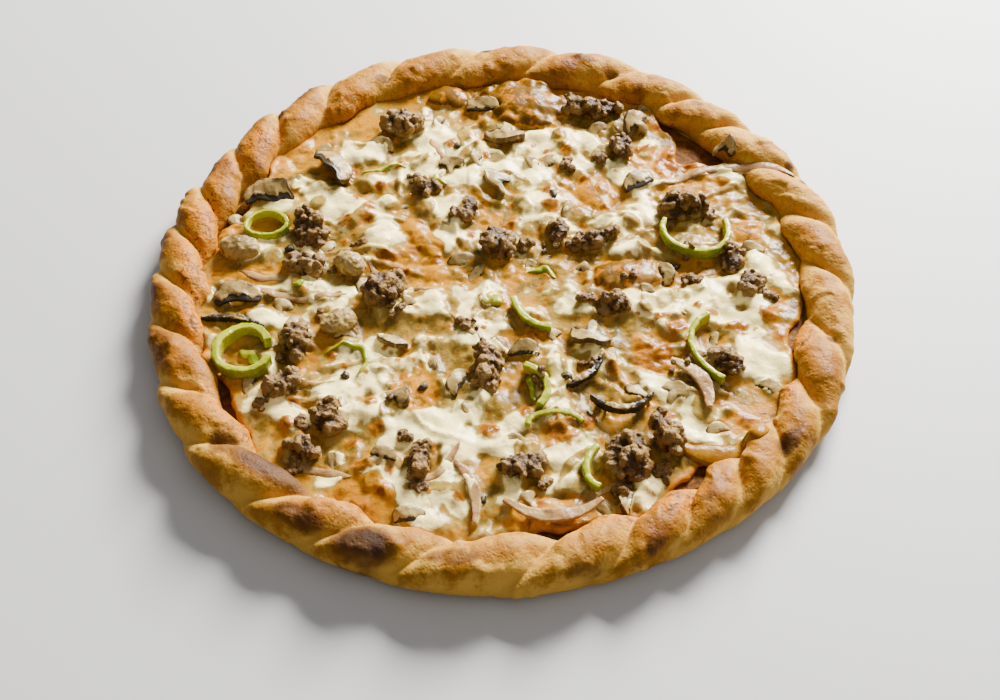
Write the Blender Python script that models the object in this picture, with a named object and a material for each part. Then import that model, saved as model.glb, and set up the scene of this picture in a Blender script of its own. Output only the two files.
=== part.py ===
"""A round pizza with a hand-rolled rope rim, tomato sauce, melted cheese and its loose toppings.

The frame stands on the table at the middle of the underside: +Z is up, +X to the right and +Y away
from the viewer. Lengths below are millimetres, and MM turns them into Blender's metres.
"""

import math
import random
from typing import NamedTuple

import bmesh
import bpy
from mathutils import Matrix, Vector, noise
from mathutils.bvhtree import BVHTree
from mathutils.geometry import delaunay_2d_cdt

MM = 0.001
GAP = 0.35
DROP_HEIGHT = 60.0
SHARP_DEG = 50.0

# Dough
OUTER_RADIUS = 162.0
BASE_THICKNESS = 4.5
RIM_HALF_WIDTH = 10.6
RIM_HALF_HEIGHT = 8.3
RIM_SQUARENESS = 0.86
RIM_UNEVENNESS = 0.10
RIM_LOWEST = 1.2
FOOT_CURVE = ((13.0, 0.0), (7.0, 0.5))
BASE_RING_INSET = 25.0
TUBE_START_DEG = 204.0
TUBE_SWEEP_DEG = 250.0
TUBE_RINGS = 11
STEPS_PER_FOLD = 6
FOLD_SLANT_DEG = 14.0
FOLD_LIFT = 3.9
FOLD_MARGIN = 1.2
FOLD_SPREAD = 0.27
RIDGE_START = 0.30
RIDGE_END = 0.62
SLANT_PIVOT = 0.45
CREASE_DEPTH = 2.4
CREASE_WIDTH = 0.13
CREASE_MIDDLE = 0.42
CREASE_REACH = 0.34
# Where each crease crosses the crest of the rim, clockwise seen from above
CREASES_DEG = (
    97, 82, 66, 52, 41, 27, 13, 0, -15, -29, -40, -50, -60, -71,
    -85, -102, -115, -127, -141, -154, -167, -178, -189, -199, -210, -222, -234, -248,
)  # fmt: skip

# Sauce and cheese
EDGE_LOOK_DEG = (-2.5, -1.2, 0.0, 1.2, 2.5)
EDGE_UNEVENNESS = 1.2
EDGE_LOOK_STEPS = 6
SAUCE_THICKNESS = 1.0
SAUCE_CLEARANCE = 0.8
SAUCE_POINTS = 96
CHEESE_LEVEL = 3.1
CHEESE_LEAST = 1.0
CHEESE_LUMPS = 1.5
CHEESE_LUMP_SIZE = 26.0
CHEESE_EDGE_DROP = 1.5
CHEESE_EDGE_WIDTH = 9.0
CHEESE_CLEARANCE = 0.7
PAD_LEVEL = 2.2
PAD_SLOPE = 0.45
CHEESE_SPACING = 7.6
CHEESE_OUTLINE_POINTS = 120
POINT_JITTER = 1.0

# Toppings
COARSE_SUBDIVISIONS = 2
FINE_SUBDIVISIONS = 3
LARGE_CRUMB = 22.5
CRUMB_CORE = 0.62
MERGE_WITHIN = 0.15
UNCUT_SHARE = 0.78
SLICE_THICKNESS = 3.2
CAP_STEPS = 8
STRIP_STEPS = 9
STRIP_END_SHARE = 0.35
STRIP_WAVE = 0.5
RING_STEPS = 18
LOBE_DEPTH = 0.06
WALL_LEAN = 0.03
RING_WAVE = 0.12


class Bubble(NamedTuple):
    """A blown-up dome under the cheese."""

    x: float
    y: float
    length: float
    width: float
    turn: float
    height: float


class Notch(NamedTuple):
    """A place at the cheese's edge where it stops short and the sauce shows."""

    angle: float
    spread: float
    depth: float


class Chunk(NamedTuple):
    """A rounded lump: minced meat, or the outside of a mushroom cap."""

    x: float
    y: float
    length: float
    width: float
    height: float
    turn: float


class Slice(NamedTuple):
    """A flat slice of mushroom. Lean tips it about its own width, and curl bends it."""

    x: float
    y: float
    width: float
    turn: float
    shape: str
    lean: float
    curl: float


class Strip(NamedTuple):
    """A curved strip along an arc: onion, the edge of a mushroom or a bit of pepper."""

    x: float
    y: float
    length: float
    turn: float
    bend: float
    width: float
    thickness: float


class Ring(NamedTuple):
    """A pepper ring, or the part of one from start to end, in degrees."""

    x: float
    y: float
    radius_x: float
    radius_y: float
    start: float
    end: float
    wall: float
    height: float


BUBBLES = (
    Bubble(13, 119, 46, 34, 0, 6.5),
    Bubble(-27, 127, 19, 15, 0, 4.0),
    Bubble(58, 3, 27, 20, 0, 4.6),
    Bubble(-37, 27, 27, 11, -52, 3.4),
    Bubble(46, 57, 17, 22, 10, 2.6),
    Bubble(-119, 73, 30, 26, 40, 3.6),
    Bubble(-38, -64, 20, 20, 0, 2.4),
    Bubble(-57, -117, 24, 17, -25, 3.2),
    Bubble(19, -126, 30, 18, 8, 3.0),
    Bubble(116, 29, 17, 15, 40, 3.0),
    Bubble(-117, -68, 26, 15, -45, 2.8),
    Bubble(96, 58, 28, 10, 18, 2.2),
    Bubble(-117, 4, 30, 10, 0, 2.0),
)

# Small toppings that the cheese has run over
COVERED = (
    Bubble(-24, 74, 15, 11, -15, 3.6),
    Bubble(-60, 88, 16, 13, 20, 3.0),
    Bubble(-18, 11, 16, 12, 5, 3.2),
    Bubble(24, 78, 14, 12, 0, 3.0),
    Bubble(50, 100, 14, 11, 10, 3.2),
    Bubble(37, 8, 12, 11, -30, 3.2),
    Bubble(74, 2, 16, 9, -78, 3.0),
    Bubble(96, -34, 12, 10, 60, 3.2),
    Bubble(114, -66, 15, 12, -40, 3.4),
    Bubble(119, 16, 13, 11, -10, 3.0),
    Bubble(59, -62, 14, 12, 20, 3.4),
    Bubble(-50, -101, 13, 11, 0, 3.0),
    Bubble(-70, -49, 18, 18, 0, 2.4),
    Bubble(-34, -46, 13, 11, 0, 2.8),
    Bubble(-15, -77, 13, 11, 0, 2.8),
    Bubble(-72, -101, 26, 10, 0, 2.2),
    Bubble(-36, -127, 15, 9, -15, 2.4),
    Bubble(-56, 71, 24, 10, 8, 2.4),
    Bubble(88, -75, 18, 10, -60, 2.6),
    Bubble(90, -95, 32, 9, -16, 3.0),
)

NOTCHES = (
    Notch(42, 7, 17),
    Notch(-54, 6, 7),
    Notch(157, 8, 6),
    Notch(-80, 8, 4),
    Notch(-150, 7, 5),
    Notch(-12, 6, 4),
)

MEAT = (
    Chunk(-49, 104, 21, 16, 10, 5),
    Chunk(-36, 58, 15, 10, 8, -20),
    Chunk(-15, 44, 18, 8, 7, 75),
    Chunk(-2, 21, 18, 17, 10, 80),
    Chunk(-91, 30, 23, 15, 11, -80),
    Chunk(-91, 8, 18, 12, 8, -15),
    Chunk(-54, -8, 22, 19, 12, 60),
    Chunk(-91, -38, 22, 13, 10, -80),
    Chunk(-95, -61, 17, 14, 8, 15),
    Chunk(-74, -80, 16, 13, 9, -60),
    Chunk(-83, -94, 16, 9, 7, -30),
    Chunk(-35, -102, 20, 11, 10, 80),
    Chunk(-6, -54, 24, 12, 9, 85),
    Chunk(8, -105, 20, 13, 9, 15),
    Chunk(52, -101, 24, 20, 12, -60),
    Chunk(69, -91, 23, 12, 11, -70),
    Chunk(97, -52, 18, 13, 9, -10),
    Chunk(51, -17, 16, 13, 9, 35),
    Chunk(114, -5, 15, 13, 8, 40),
    Chunk(107, 10, 17, 11, 9, 75),
    Chunk(88, 43, 26, 12, 11, 0),
    Chunk(27, 28, 16, 10, 8, 80),
    Chunk(46, 24, 24, 10, 8, 15),
    Chunk(47, 115, 30, 12, 10, -12),
    Chunk(60, 86, 20, 11, 9, -80),
)

BUTTONS = (
    Chunk(-122, 19, 20, 13, 9, -10),
    Chunk(-70, 9, 17, 12, 8, -30),
    Chunk(-73, -26, 17, 13, 8, 25),
)

SLICES = (
    Slice(3, 98, 21, 180, "whole", 14, 0.9),
    Slice(-112, 53, 25, 4, "cap", 22, 0.6),
    Slice(-83, 72, 25, -52, "cap", -24, 0.7),
    Slice(10, -44, 15, 0, "cap", 26, 0.5),
    Slice(-18, -61, 15, 70, "cap", 18, 0.8),
    Slice(-9, 117, 18, 0, "cap", 20, 0.6),
    Slice(-3, 60, 22, 40, "half", 10, 0.8),
    Slice(69, 103, 17, 50, "whole", 32, 0.9),
    Slice(68, 61, 18, 30, "cap", 14, 0.8),
    Slice(109, 83, 17, -53, "half", 36, 0.6),
    Slice(-120, -11, 22, 5, "cap", 14, 0.6),
    Slice(-48, -35, 15, 160, "cap", 20, 0.7),
    Slice(39, -34, 19, 160, "whole", 12, 0.9),
    Slice(51, -122, 12, 75, "cap", 20, 0.7),
    Slice(-46, -66, 17, -70, "half", 14, 0.7),
)

GILL_STRIPS = (
    Strip(-120, -25, 29, -10, 3, 3.0, 3.4),
    Strip(51, -73, 27, 2, -8, 3.2, 4.0),
    Strip(37, -55, 25, 48, -3, 3.6, 3.2),
)

RINGS = (
    Ring(-111, 34, 9.5, 8.0, 0, 360, 2.1, 4.6),
    Ring(-113, -44, 11.5, 12.5, 20, 340, 3.4, 7.0),
    Ring(92, 28, 15.0, 15.5, 158, 382, 2.6, 5.6),
    Ring(103, -43, 19.0, 22.0, 125, 245, 2.6, 5.2),
    Ring(22, -85, 11.5, 7.5, 15, 175, 2.4, 4.0),
    Ring(7, -66, 11.5, 14.0, -40, 78, 3.2, 5.0),
    Ring(28, -5, 23.0, 26.0, 197, 255, 3.2, 3.6),
    Ring(42, -106, 8.0, 11.0, 110, 250, 2.8, 4.6),
)

ONIONS = (
    Strip(20, -126, 40, 0, -8, 6.0, 1.8),
    Strip(83, -62, 30, -62, 6, 7.0, 1.8),
    Strip(-14, -116, 32, -75, 4, 5.0, 1.8),
)


def smooth(value):
    """A smooth step from 0 to 1 as the value goes from 0 to 1."""
    value = min(1.0, max(0.0, value))
    return value * value * (3 - 2 * value)


def material(name, colour, roughness):
    """A plain Principled material in a linear colour."""
    made = bpy.data.materials.new(name)
    made.use_nodes = True
    shader = made.node_tree.nodes["Principled BSDF"]
    shader.inputs["Base Color"].default_value = (*colour, 1.0)
    shader.inputs["Roughness"].default_value = roughness
    shader.inputs["Metallic"].default_value = 0.0
    return made


def add_object(name, builder, finish, lie=None):
    """Turns a bmesh built in millimetres into an object in metres, which lie places and turns."""
    lie = lie or Matrix()
    bmesh.ops.recalc_face_normals(builder, faces=builder.faces)
    bmesh.ops.transform(builder, matrix=Matrix.Scale(MM, 4) @ lie.inverted(), verts=builder.verts)
    mesh = bpy.data.meshes.new(name)
    builder.to_mesh(mesh)
    builder.free()
    mesh.materials.append(finish)
    mesh.shade_smooth()
    mesh.set_sharp_from_angle(angle=math.radians(SHARP_DEG))
    made = bpy.data.objects.new(name, mesh)
    made.location = lie.translation * MM
    made.rotation_euler = lie.to_euler()
    bpy.context.scene.collection.objects.link(made)
    return made


def outline_radius(angle_deg):
    """The outer radius of the dough, which isn't quite round."""
    angle = math.radians(angle_deg)
    return (
        OUTER_RADIUS
        + 1.0 * math.cos(2 * angle - 2.8)
        + 0.7 * math.cos(3 * angle + 0.6)
        + 0.5 * math.sin(7 * angle)
    )


def fold_columns():
    """Yields (crest angle in degrees, place t from 0 to 1 in its fold, fold number) right round the rim."""
    closed = (*CREASES_DEG, CREASES_DEG[0] - 360)
    for number, (start, end) in enumerate(zip(closed, closed[1:])):
        for step in range(STEPS_PER_FOLD):
            t = step / STEPS_PER_FOLD
            yield start + (end - start) * t, t, number


def fold_lift(t, s, number):
    """How far a fold stands out of the rim's plain tube, in millimetres.

    t runs along the fold and s over the tube, from the foot of its inner side (0) to that of its
    outer side (1). Each fold's ridge starts on the inner side and moves out along the fold.
    """
    variety = 0.85 + 0.3 * noise.noise(Vector((number * 1.7, 3.1, 0.4)))
    along = math.sin(math.pi * t) ** 0.6 * (0.8 + 0.35 * t)
    ridge = RIDGE_START + (RIDGE_END - RIDGE_START) * t
    across = math.exp(-(((s - ridge) / FOLD_SPREAD) ** 2))
    from_crease = min(t, 1 - t)
    crease = math.exp(-((from_crease / CREASE_WIDTH) ** 2) - ((s - CREASE_MIDDLE) / CREASE_REACH) ** 2)
    return FOLD_LIFT * variety * along * across - CREASE_DEPTH * crease


def rim_point(crest_deg, t, s, number):
    """A point of the rim, in millimetres."""
    angle_deg = crest_deg + FOLD_SLANT_DEG * (SLANT_PIVOT - s)
    turn = math.radians(TUBE_START_DEG - TUBE_SWEEP_DEG * s)
    across, up = math.cos(turn), math.sin(turn)
    crest = math.radians(crest_deg)
    unevenness = noise.noise(Vector((math.cos(crest), math.sin(crest), 2.3)) * 2.2)
    height = RIM_HALF_HEIGHT * (1 + RIM_UNEVENNESS * unevenness)
    lift = fold_lift(t, s, number)
    out = RIM_HALF_WIDTH * math.copysign(abs(across) ** RIM_SQUARENESS, across) + lift * across
    rise = height * math.copysign(abs(up) ** RIM_SQUARENESS, up) + lift * up
    distance = outline_radius(angle_deg) - RIM_HALF_WIDTH - FOLD_MARGIN + out
    angle = math.radians(angle_deg)
    return Vector((distance * math.cos(angle), distance * math.sin(angle), max(RIM_LOWEST, height + rise)))


def ring_point(crest_deg, s, inset, z):
    """A point of a plain ring, that far inside the outline. Its slant is that of the tube at s."""
    angle_deg = crest_deg + FOLD_SLANT_DEG * (SLANT_PIVOT - s)
    distance = outline_radius(angle_deg) - inset
    angle = math.radians(angle_deg)
    return Vector((distance * math.cos(angle), distance * math.sin(angle), z))


def build_dough(finish):
    """The flat base and the rope rim round it, in one solid."""
    builder = bmesh.new()
    columns = []
    for crest_deg, t, number in fold_columns():
        points = [ring_point(crest_deg, 1, inset, z) for inset, z in FOOT_CURVE]
        for ring in range(TUBE_RINGS):
            points.append(rim_point(crest_deg, t, 1 - ring / (TUBE_RINGS - 1), number))
        points.append(ring_point(crest_deg, 0, BASE_RING_INSET, BASE_THICKNESS))
        columns.append([builder.verts.new(point) for point in points])
    for here, after in zip(columns, columns[1:] + columns[:1]):
        for low in range(len(here) - 1):
            builder.faces.new((here[low], here[low + 1], after[low + 1], after[low]))
    builder.faces.new([column[0] for column in columns])
    builder.faces.new([column[-1] for column in columns])
    return add_object("dough", builder, finish)


def points_of(made):
    """Where the corners of an object lie, in millimetres."""
    return [made.matrix_basis @ vertex.co / MM for vertex in made.data.vertices]


def surface_of(*objects):
    """A search tree over the surfaces of these objects, in millimetres."""
    points, faces = [], []
    for made in objects:
        first = len(points)
        points.extend(points_of(made))
        made.data.calc_loop_triangles()
        for triangle in made.data.loop_triangles:
            faces.append([first + corner for corner in triangle.vertices])
    return BVHTree.FromPolygons(points, faces)


def room_inside(rim, angle_deg, low, high, clearance):
    """How far from the middle a layer can reach before it meets the rim between two heights."""
    angle = math.radians(angle_deg)
    way_out = Vector((math.cos(angle), math.sin(angle), 0))
    reach = OUTER_RADIUS
    for step in range(EDGE_LOOK_STEPS + 1):
        start = Vector((0, 0, low + (high - low) * step / EDGE_LOOK_STEPS))
        hit = rim.ray_cast(start, way_out)[0]
        if hit is not None:
            reach = min(reach, hit.xy.length)
    return reach - clearance


def layer_outline(rim, count, low, high, clearance, notches=()):
    """The points of a layer's edge inside the rim, which stops short at each notch."""
    points = []
    for step in range(count):
        angle_deg = 360 * step / count
        sides = (angle_deg + side for side in EDGE_LOOK_DEG)
        radius = min(room_inside(rim, side, low, high, clearance) for side in sides)
        radius -= EDGE_UNEVENNESS * (0.5 + 0.5 * noise.noise(Vector((angle_deg * 0.11, 8.0, 1.0))))
        for notch in notches:
            away = (angle_deg - notch.angle + 180) % 360 - 180
            radius -= notch.depth * math.exp(-((away / notch.spread) ** 2))
        angle = math.radians(angle_deg)
        points.append(Vector((radius * math.cos(angle), radius * math.sin(angle))))
    return points


def build_sauce(rim, finish):
    """The thin layer of tomato sauce on the base."""
    low = BASE_THICKNESS + GAP
    high = low + SAUCE_THICKNESS
    outline = layer_outline(rim, SAUCE_POINTS, low, high, SAUCE_CLEARANCE)
    builder = bmesh.new()
    floor = builder.faces.new([builder.verts.new((*point, low)) for point in outline])
    raised = bmesh.ops.extrude_face_region(builder, geom=[floor], use_keep_orig=True)
    lifted = [item for item in raised["geom"] if isinstance(item, bmesh.types.BMVert)]
    bmesh.ops.translate(builder, vec=(0, 0, high - low), verts=lifted)
    return add_object("sauce", builder, finish)


def bubble_height(x, y):
    """How far the domes lift the cheese at a point."""
    lift = 0.0
    for bubble in (*BUBBLES, *COVERED):
        turn = math.radians(bubble.turn)
        along = (x - bubble.x) * math.cos(turn) + (y - bubble.y) * math.sin(turn)
        across = (y - bubble.y) * math.cos(turn) - (x - bubble.x) * math.sin(turn)
        away = math.hypot(along / (bubble.length / 2), across / (bubble.width / 2))
        lift = max(lift, bubble.height * smooth(1.25 - away))
    return lift


def pads():
    """Yields (x, y, radius) for discs that cover the footprint of each lump and slice."""
    for chunk in (*MEAT, *BUTTONS):
        turn = math.radians(chunk.turn)
        for side in (-0.5, 0, 0.5):
            reach = side * (chunk.length - chunk.width)
            yield chunk.x + reach * math.cos(turn), chunk.y + reach * math.sin(turn), chunk.width / 2
    for piece in SLICES:
        yield piece.x, piece.y, piece.width / 2


def cheese_height(x, y, edge_distance):
    """The top of the cheese above its own underside. It lies flatter where a topping sits in it."""
    place = Vector((x / CHEESE_LUMP_SIZE, y / CHEESE_LUMP_SIZE, 2.0))
    lumps = CHEESE_LUMPS * noise.fractal(place, 0.9, 2.0, 2)
    edge = CHEESE_EDGE_DROP * (1 - smooth(edge_distance / CHEESE_EDGE_WIDTH))
    height = CHEESE_LEVEL + lumps + bubble_height(x, y) - edge
    for pad_x, pad_y, radius in pads():
        away = math.hypot(x - pad_x, y - pad_y) - radius
        height = min(height, PAD_LEVEL + PAD_SLOPE * max(0.0, away))
    return height


def build_cheese(rim, finish):
    """The melted cheese: flat below, lumpy and blistered above."""
    low = BASE_THICKNESS + SAUCE_THICKNESS + 2 * GAP
    high = low + CHEESE_LEVEL + CHEESE_LUMPS
    outline = layer_outline(rim, CHEESE_OUTLINE_POINTS, low, high, CHEESE_CLEARANCE, NOTCHES)
    count = len(outline)
    inner = [point.length - CHEESE_SPACING * 0.6 for point in outline]
    spread = random.Random(11)
    places = list(outline)
    row_spacing = CHEESE_SPACING * math.sqrt(3) / 2
    rows = int(OUTER_RADIUS / row_spacing) + 1
    for row in range(-rows, rows + 1):
        for column in range(-rows, rows + 1):
            x = (column + 0.5 * (row % 2)) * CHEESE_SPACING + spread.uniform(-POINT_JITTER, POINT_JITTER)
            y = row * row_spacing + spread.uniform(-POINT_JITTER, POINT_JITTER)
            before = int((math.atan2(y, x) / math.tau % 1) * count)
            if math.hypot(x, y) < min(inner[before], inner[(before + 1) % count]):
                places.append(Vector((x, y)))
    ring = [(step, (step + 1) % count) for step in range(count)]
    flat = delaunay_2d_cdt(places, ring, [], 1, 1e-5)
    builder = bmesh.new()
    top = []
    for point in flat[0]:
        edge_distance = min((point - side).length for side in outline)
        height = max(CHEESE_LEAST, cheese_height(point.x, point.y, edge_distance))
        top.append(builder.verts.new((*point, low + height)))
    for corners in flat[2]:
        builder.faces.new([top[corner] for corner in corners])
    bottom = [builder.verts.new((*point, low)) for point in outline]
    for here, after in ring:
        builder.faces.new((top[here], top[after], bottom[after], bottom[here]))
    builder.faces.new(bottom)
    return add_object("cheese", builder, finish)


def ball_reach(way, balls):
    """How far the outside of a cluster of balls lies from the middle, in one direction."""
    reach = 0.0
    for centre, radius in balls:
        towards = way.dot(centre)
        inside = towards * towards - centre.length_squared + radius * radius
        if inside > 0:
            reach = max(reach, towards + math.sqrt(inside))
    return reach


def chunk_mesh(chunk, subdivisions, reach_at):
    """A lump of the chunk's size with a flat underside at z = 0. reach_at gives its shape by direction."""
    builder = bmesh.new()
    bmesh.ops.create_icosphere(builder, subdivisions=subdivisions, radius=1.0)
    for vertex in builder.verts:
        way = vertex.co.normalized()
        vertex.co = way * reach_at(way)
    for axis, size in enumerate((chunk.length, chunk.width, chunk.height / UNCUT_SHARE)):
        low = min(vertex.co[axis] for vertex in builder.verts)
        high = max(vertex.co[axis] for vertex in builder.verts)
        for vertex in builder.verts:
            vertex.co[axis] = (vertex.co[axis] - (low + high) / 2) * size / (high - low)
    cut = Vector((0, 0, chunk.height * (0.5 / UNCUT_SHARE - 1)))
    everything = builder.verts[:] + builder.edges[:] + builder.faces[:]
    bmesh.ops.bisect_plane(builder, geom=everything, plane_co=cut, plane_no=(0, 0, 1), clear_inner=True)
    bmesh.ops.remove_doubles(builder, verts=builder.verts, dist=MERGE_WITHIN)
    rim = [edge for edge in builder.edges if edge.is_boundary]
    bmesh.ops.holes_fill(builder, edges=rim, sides=0)
    bmesh.ops.translate(builder, vec=-cut, verts=builder.verts)
    return builder


def meat_mesh(chunk, seed):
    """A crumb of minced meat: one large ball with smaller ones bulging out of it."""
    draw = random.Random(seed)
    large = chunk.length >= LARGE_CRUMB
    balls = [(Vector((0, 0, 0)), CRUMB_CORE)]
    for _ in range(7 if large else 5):
        way = Vector((draw.uniform(-1, 1), draw.uniform(-1, 1), draw.uniform(-0.5, 1))).normalized()
        balls.append((way * draw.uniform(0.38, 0.55), draw.uniform(0.40, 0.52)))
    subdivisions = FINE_SUBDIVISIONS if large else COARSE_SUBDIVISIONS
    return chunk_mesh(chunk, subdivisions, lambda way: ball_reach(way, balls))


def button_mesh(chunk, seed):
    """The smooth outside of a mushroom cap."""
    shift = Vector((seed, 0.5, 0))
    return chunk_mesh(chunk, COARSE_SUBDIVISIONS, lambda way: 0.9 + 0.12 * noise.noise(way * 1.3 + shift))


def slice_outline(shape):
    """The profile of a mushroom slice, one unit wide over its cap, as a closed run of points."""
    turns = [math.pi * step / CAP_STEPS for step in range(CAP_STEPS + 1)]
    cap = [(0.5 * math.cos(turn), 0.40 * math.sin(turn)) for turn in turns]
    right_lip = [(0.43, -0.11), (0.30, -0.08)]
    left_lip = [(-x, y) for x, y in reversed(right_lip)]
    stem = [(0.13, -0.07), (0.11, -0.36), (0.0, -0.42), (-0.11, -0.36), (-0.13, -0.07)]
    if shape == "cap":
        lower = [(0.0, -0.09)]
    else:
        lower = stem
    outline = cap + left_lip + lower[::-1] + right_lip
    if shape == "half":
        outline = [(x, y) for x, y in outline if x > -0.02] + [(-0.08, -0.05), (-0.04, 0.18)]
        centre = Vector((0.12, 0.0))
        outline.sort(key=lambda point: math.atan2(point[1] - centre.y, point[0] - centre.x))
    return outline


def slice_mesh(piece, seed):
    """A mushroom slice, curled across its width and leaning, before it is placed."""
    outline = [Vector(point) for point in slice_outline(piece.shape)]
    middle = [Vector((x, 0.08)) for x in (-0.28, 0.0, 0.28)]
    if piece.shape == "half":
        middle = [Vector((0.2, 0.1))]
    count = len(outline)
    ring = [(step, (step + 1) % count) for step in range(count)]
    flat = delaunay_2d_cdt(outline + middle, ring, [], 1, 1e-6)
    draw = random.Random(seed)
    twist = draw.uniform(-0.5, 0.5)
    builder = bmesh.new()
    sheets = []
    for side in (1, -1):
        sheet = []
        for point in flat[0]:
            x, y = point * piece.width
            arch = piece.curl * (x / piece.width) ** 2 * piece.width * 0.5
            wave = twist * x * y / piece.width * 2
            thickness = SLICE_THICKNESS * (0.5 + 0.08 * side)
            sheet.append(builder.verts.new((x, y, side * thickness - arch + wave)))
        sheets.append(sheet)
    for corners in flat[2]:
        builder.faces.new([sheets[0][corner] for corner in corners])
        builder.faces.new([sheets[1][corner] for corner in reversed(corners)])
    for here, after in ring:
        builder.faces.new((sheets[0][here], sheets[1][here], sheets[1][after], sheets[0][after]))
    bmesh.ops.rotate(builder, matrix=Matrix.Rotation(math.radians(piece.lean), 3, "X"), verts=builder.verts)
    return builder


def swept_bar(path, width_at, thickness, closed):
    """A bar of four sides along a path in the plane. Its width can change along the way."""
    builder = bmesh.new()
    sections = []
    count = len(path)
    for number, point in enumerate(path):
        before = path[number - 1] if closed or number else point
        after = path[(number + 1) % count] if closed or number < count - 1 else point
        along = (after - before).normalized()
        across = Vector((-along.y, along.x)) * width_at(number / (count - 1)) / 2
        corners = (point - across, point + across)
        section = [(*corners[0], 0), (*corners[1], 0), (*corners[1], thickness), (*corners[0], thickness)]
        sections.append([builder.verts.new(corner) for corner in section])
    pairs = list(zip(sections, sections[1:]))
    if closed:
        pairs.append((sections[-1], sections[0]))
    for here, there in pairs:
        for corner in range(4):
            following = (corner + 1) % 4
            builder.faces.new((here[corner], here[following], there[following], there[corner]))
    if not closed:
        builder.faces.new(sections[0])
        builder.faces.new(sections[-1])
    return builder


def strip_mesh(piece, seed):
    """A strip bent along an arc and tapered at its ends, with a slight wave in its height."""
    half = piece.length / 2
    path = []
    for step in range(STRIP_STEPS):
        x = -half + piece.length * step / (STRIP_STEPS - 1)
        path.append(Vector((x, piece.bend * (1 - (x / half) ** 2) - piece.bend / 2)))

    def width_at(share):
        """The width along the strip, narrow at both ends."""
        return piece.width * (STRIP_END_SHARE + (1 - STRIP_END_SHARE) * math.sin(math.pi * share))

    builder = swept_bar(path, width_at, piece.thickness, closed=False)
    for vertex in builder.verts:
        vertex.co.z += STRIP_WAVE * math.sin(vertex.co.x * 0.35 + seed)
    return builder


def ring_mesh(piece, seed):
    """A pepper ring with three faint lobes, whole or in part. Its wall leans out a little."""
    closed = piece.end - piece.start >= 360
    spans = RING_STEPS if closed else max(7, round(RING_STEPS * (piece.end - piece.start) / 360))
    path = []
    for step in range(spans if closed else spans + 1):
        angle = math.radians(piece.start + (piece.end - piece.start) * step / spans)
        lobes = 1 + LOBE_DEPTH * math.cos(3 * angle + seed)
        around = Vector((piece.radius_x * math.cos(angle), piece.radius_y * math.sin(angle)))
        path.append(around * lobes)
    builder = swept_bar(path, lambda share: piece.wall, piece.height, closed)
    for vertex in builder.verts:
        vertex.co.x *= 1 + WALL_LEAN * vertex.co.z / piece.height
        vertex.co.z *= 1 + RING_WAVE * math.sin(2 * math.atan2(vertex.co.y, vertex.co.x) + seed)
    return builder


def room_under(builder, ground, ground_points):
    """How far a loose mesh can come down before it meets the ground below it."""
    own = BVHTree.FromBMesh(builder)
    samples = [vertex.co for vertex in builder.verts]
    for edge in builder.edges:
        first, last = (vertex.co for vertex in edge.verts)
        samples.extend(first.lerp(last, share) for share in (0.25, 0.5, 0.75))
    hits = [ground.ray_cast(sample, Vector((0, 0, -1))) for sample in samples]
    hits.extend(own.ray_cast(point, Vector((0, 0, 1))) for point in ground_points)
    return min(hit[3] for hit in hits if hit[0] is not None)


def lay(kind, pieces, shape, finish, lying):
    """Makes each piece of one kind and lets it down over its place, to a gap above what lies there."""
    for number, piece in enumerate(pieces, 1):
        builder = shape(piece, number)
        bmesh.ops.triangulate(builder, faces=builder.faces[:])
        turn = Matrix.Rotation(math.radians(getattr(piece, "turn", 0)), 4, "Z")
        lie = Matrix.Translation((piece.x, piece.y, DROP_HEIGHT)) @ turn
        bmesh.ops.transform(builder, matrix=lie, verts=builder.verts)
        ground_points = [point for made in lying for point in points_of(made)]
        drop = Vector((0, 0, GAP - room_under(builder, surface_of(*lying), ground_points)))
        bmesh.ops.translate(builder, vec=drop, verts=builder.verts)
        lying.append(add_object(f"{kind}_{number:02d}", builder, finish, Matrix.Translation(drop) @ lie))


def main():
    """Builds the pizza from the table up: dough, sauce, cheese and then each topping where it lies."""
    for old in list(bpy.data.objects):
        bpy.data.objects.remove(old)
    crust = material("baked_dough", (0.62, 0.34, 0.13), 0.6)
    tomato = material("tomato_sauce", (0.50, 0.12, 0.02), 0.35)
    melt = material("melted_cheese", (0.80, 0.70, 0.45), 0.3)
    mince = material("browned_meat", (0.14, 0.07, 0.03), 0.5)
    cap = material("mushroom_flesh", (0.42, 0.30, 0.17), 0.5)
    gills = material("mushroom_gills", (0.04, 0.03, 0.025), 0.5)
    pepper = material("green_pepper", (0.35, 0.45, 0.04), 0.3)
    onion = material("onion", (0.65, 0.48, 0.34), 0.3)

    dough = build_dough(crust)
    rim = surface_of(dough)
    sauce = build_sauce(rim, tomato)
    cheese = build_cheese(rim, melt)
    lying = [dough, sauce, cheese]
    lay("onion", ONIONS, strip_mesh, onion, lying)
    lay("pepper", RINGS, ring_mesh, pepper, lying)
    lay("gill_strip", GILL_STRIPS, strip_mesh, gills, lying)
    lay("mushroom", SLICES, slice_mesh, cap, lying)
    lay("button", BUTTONS, button_mesh, cap, lying)
    lay("meat", MEAT, meat_mesh, mince, lying)


main()
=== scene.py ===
"""The looks of a whole pizza with a hand-rolled rope crust, melted cheese and its toppings.

Lengths in this script are millimetres unless a name ends in _m, and MM turns them into metres.
"""

import logging
import math
import random
from dataclasses import dataclass, field
from enum import Enum
from typing import Sequence, Union

import bmesh
import bpy
import numpy as np
from mathutils import Matrix, Vector, noise
from mathutils.bvhtree import BVHTree


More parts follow.
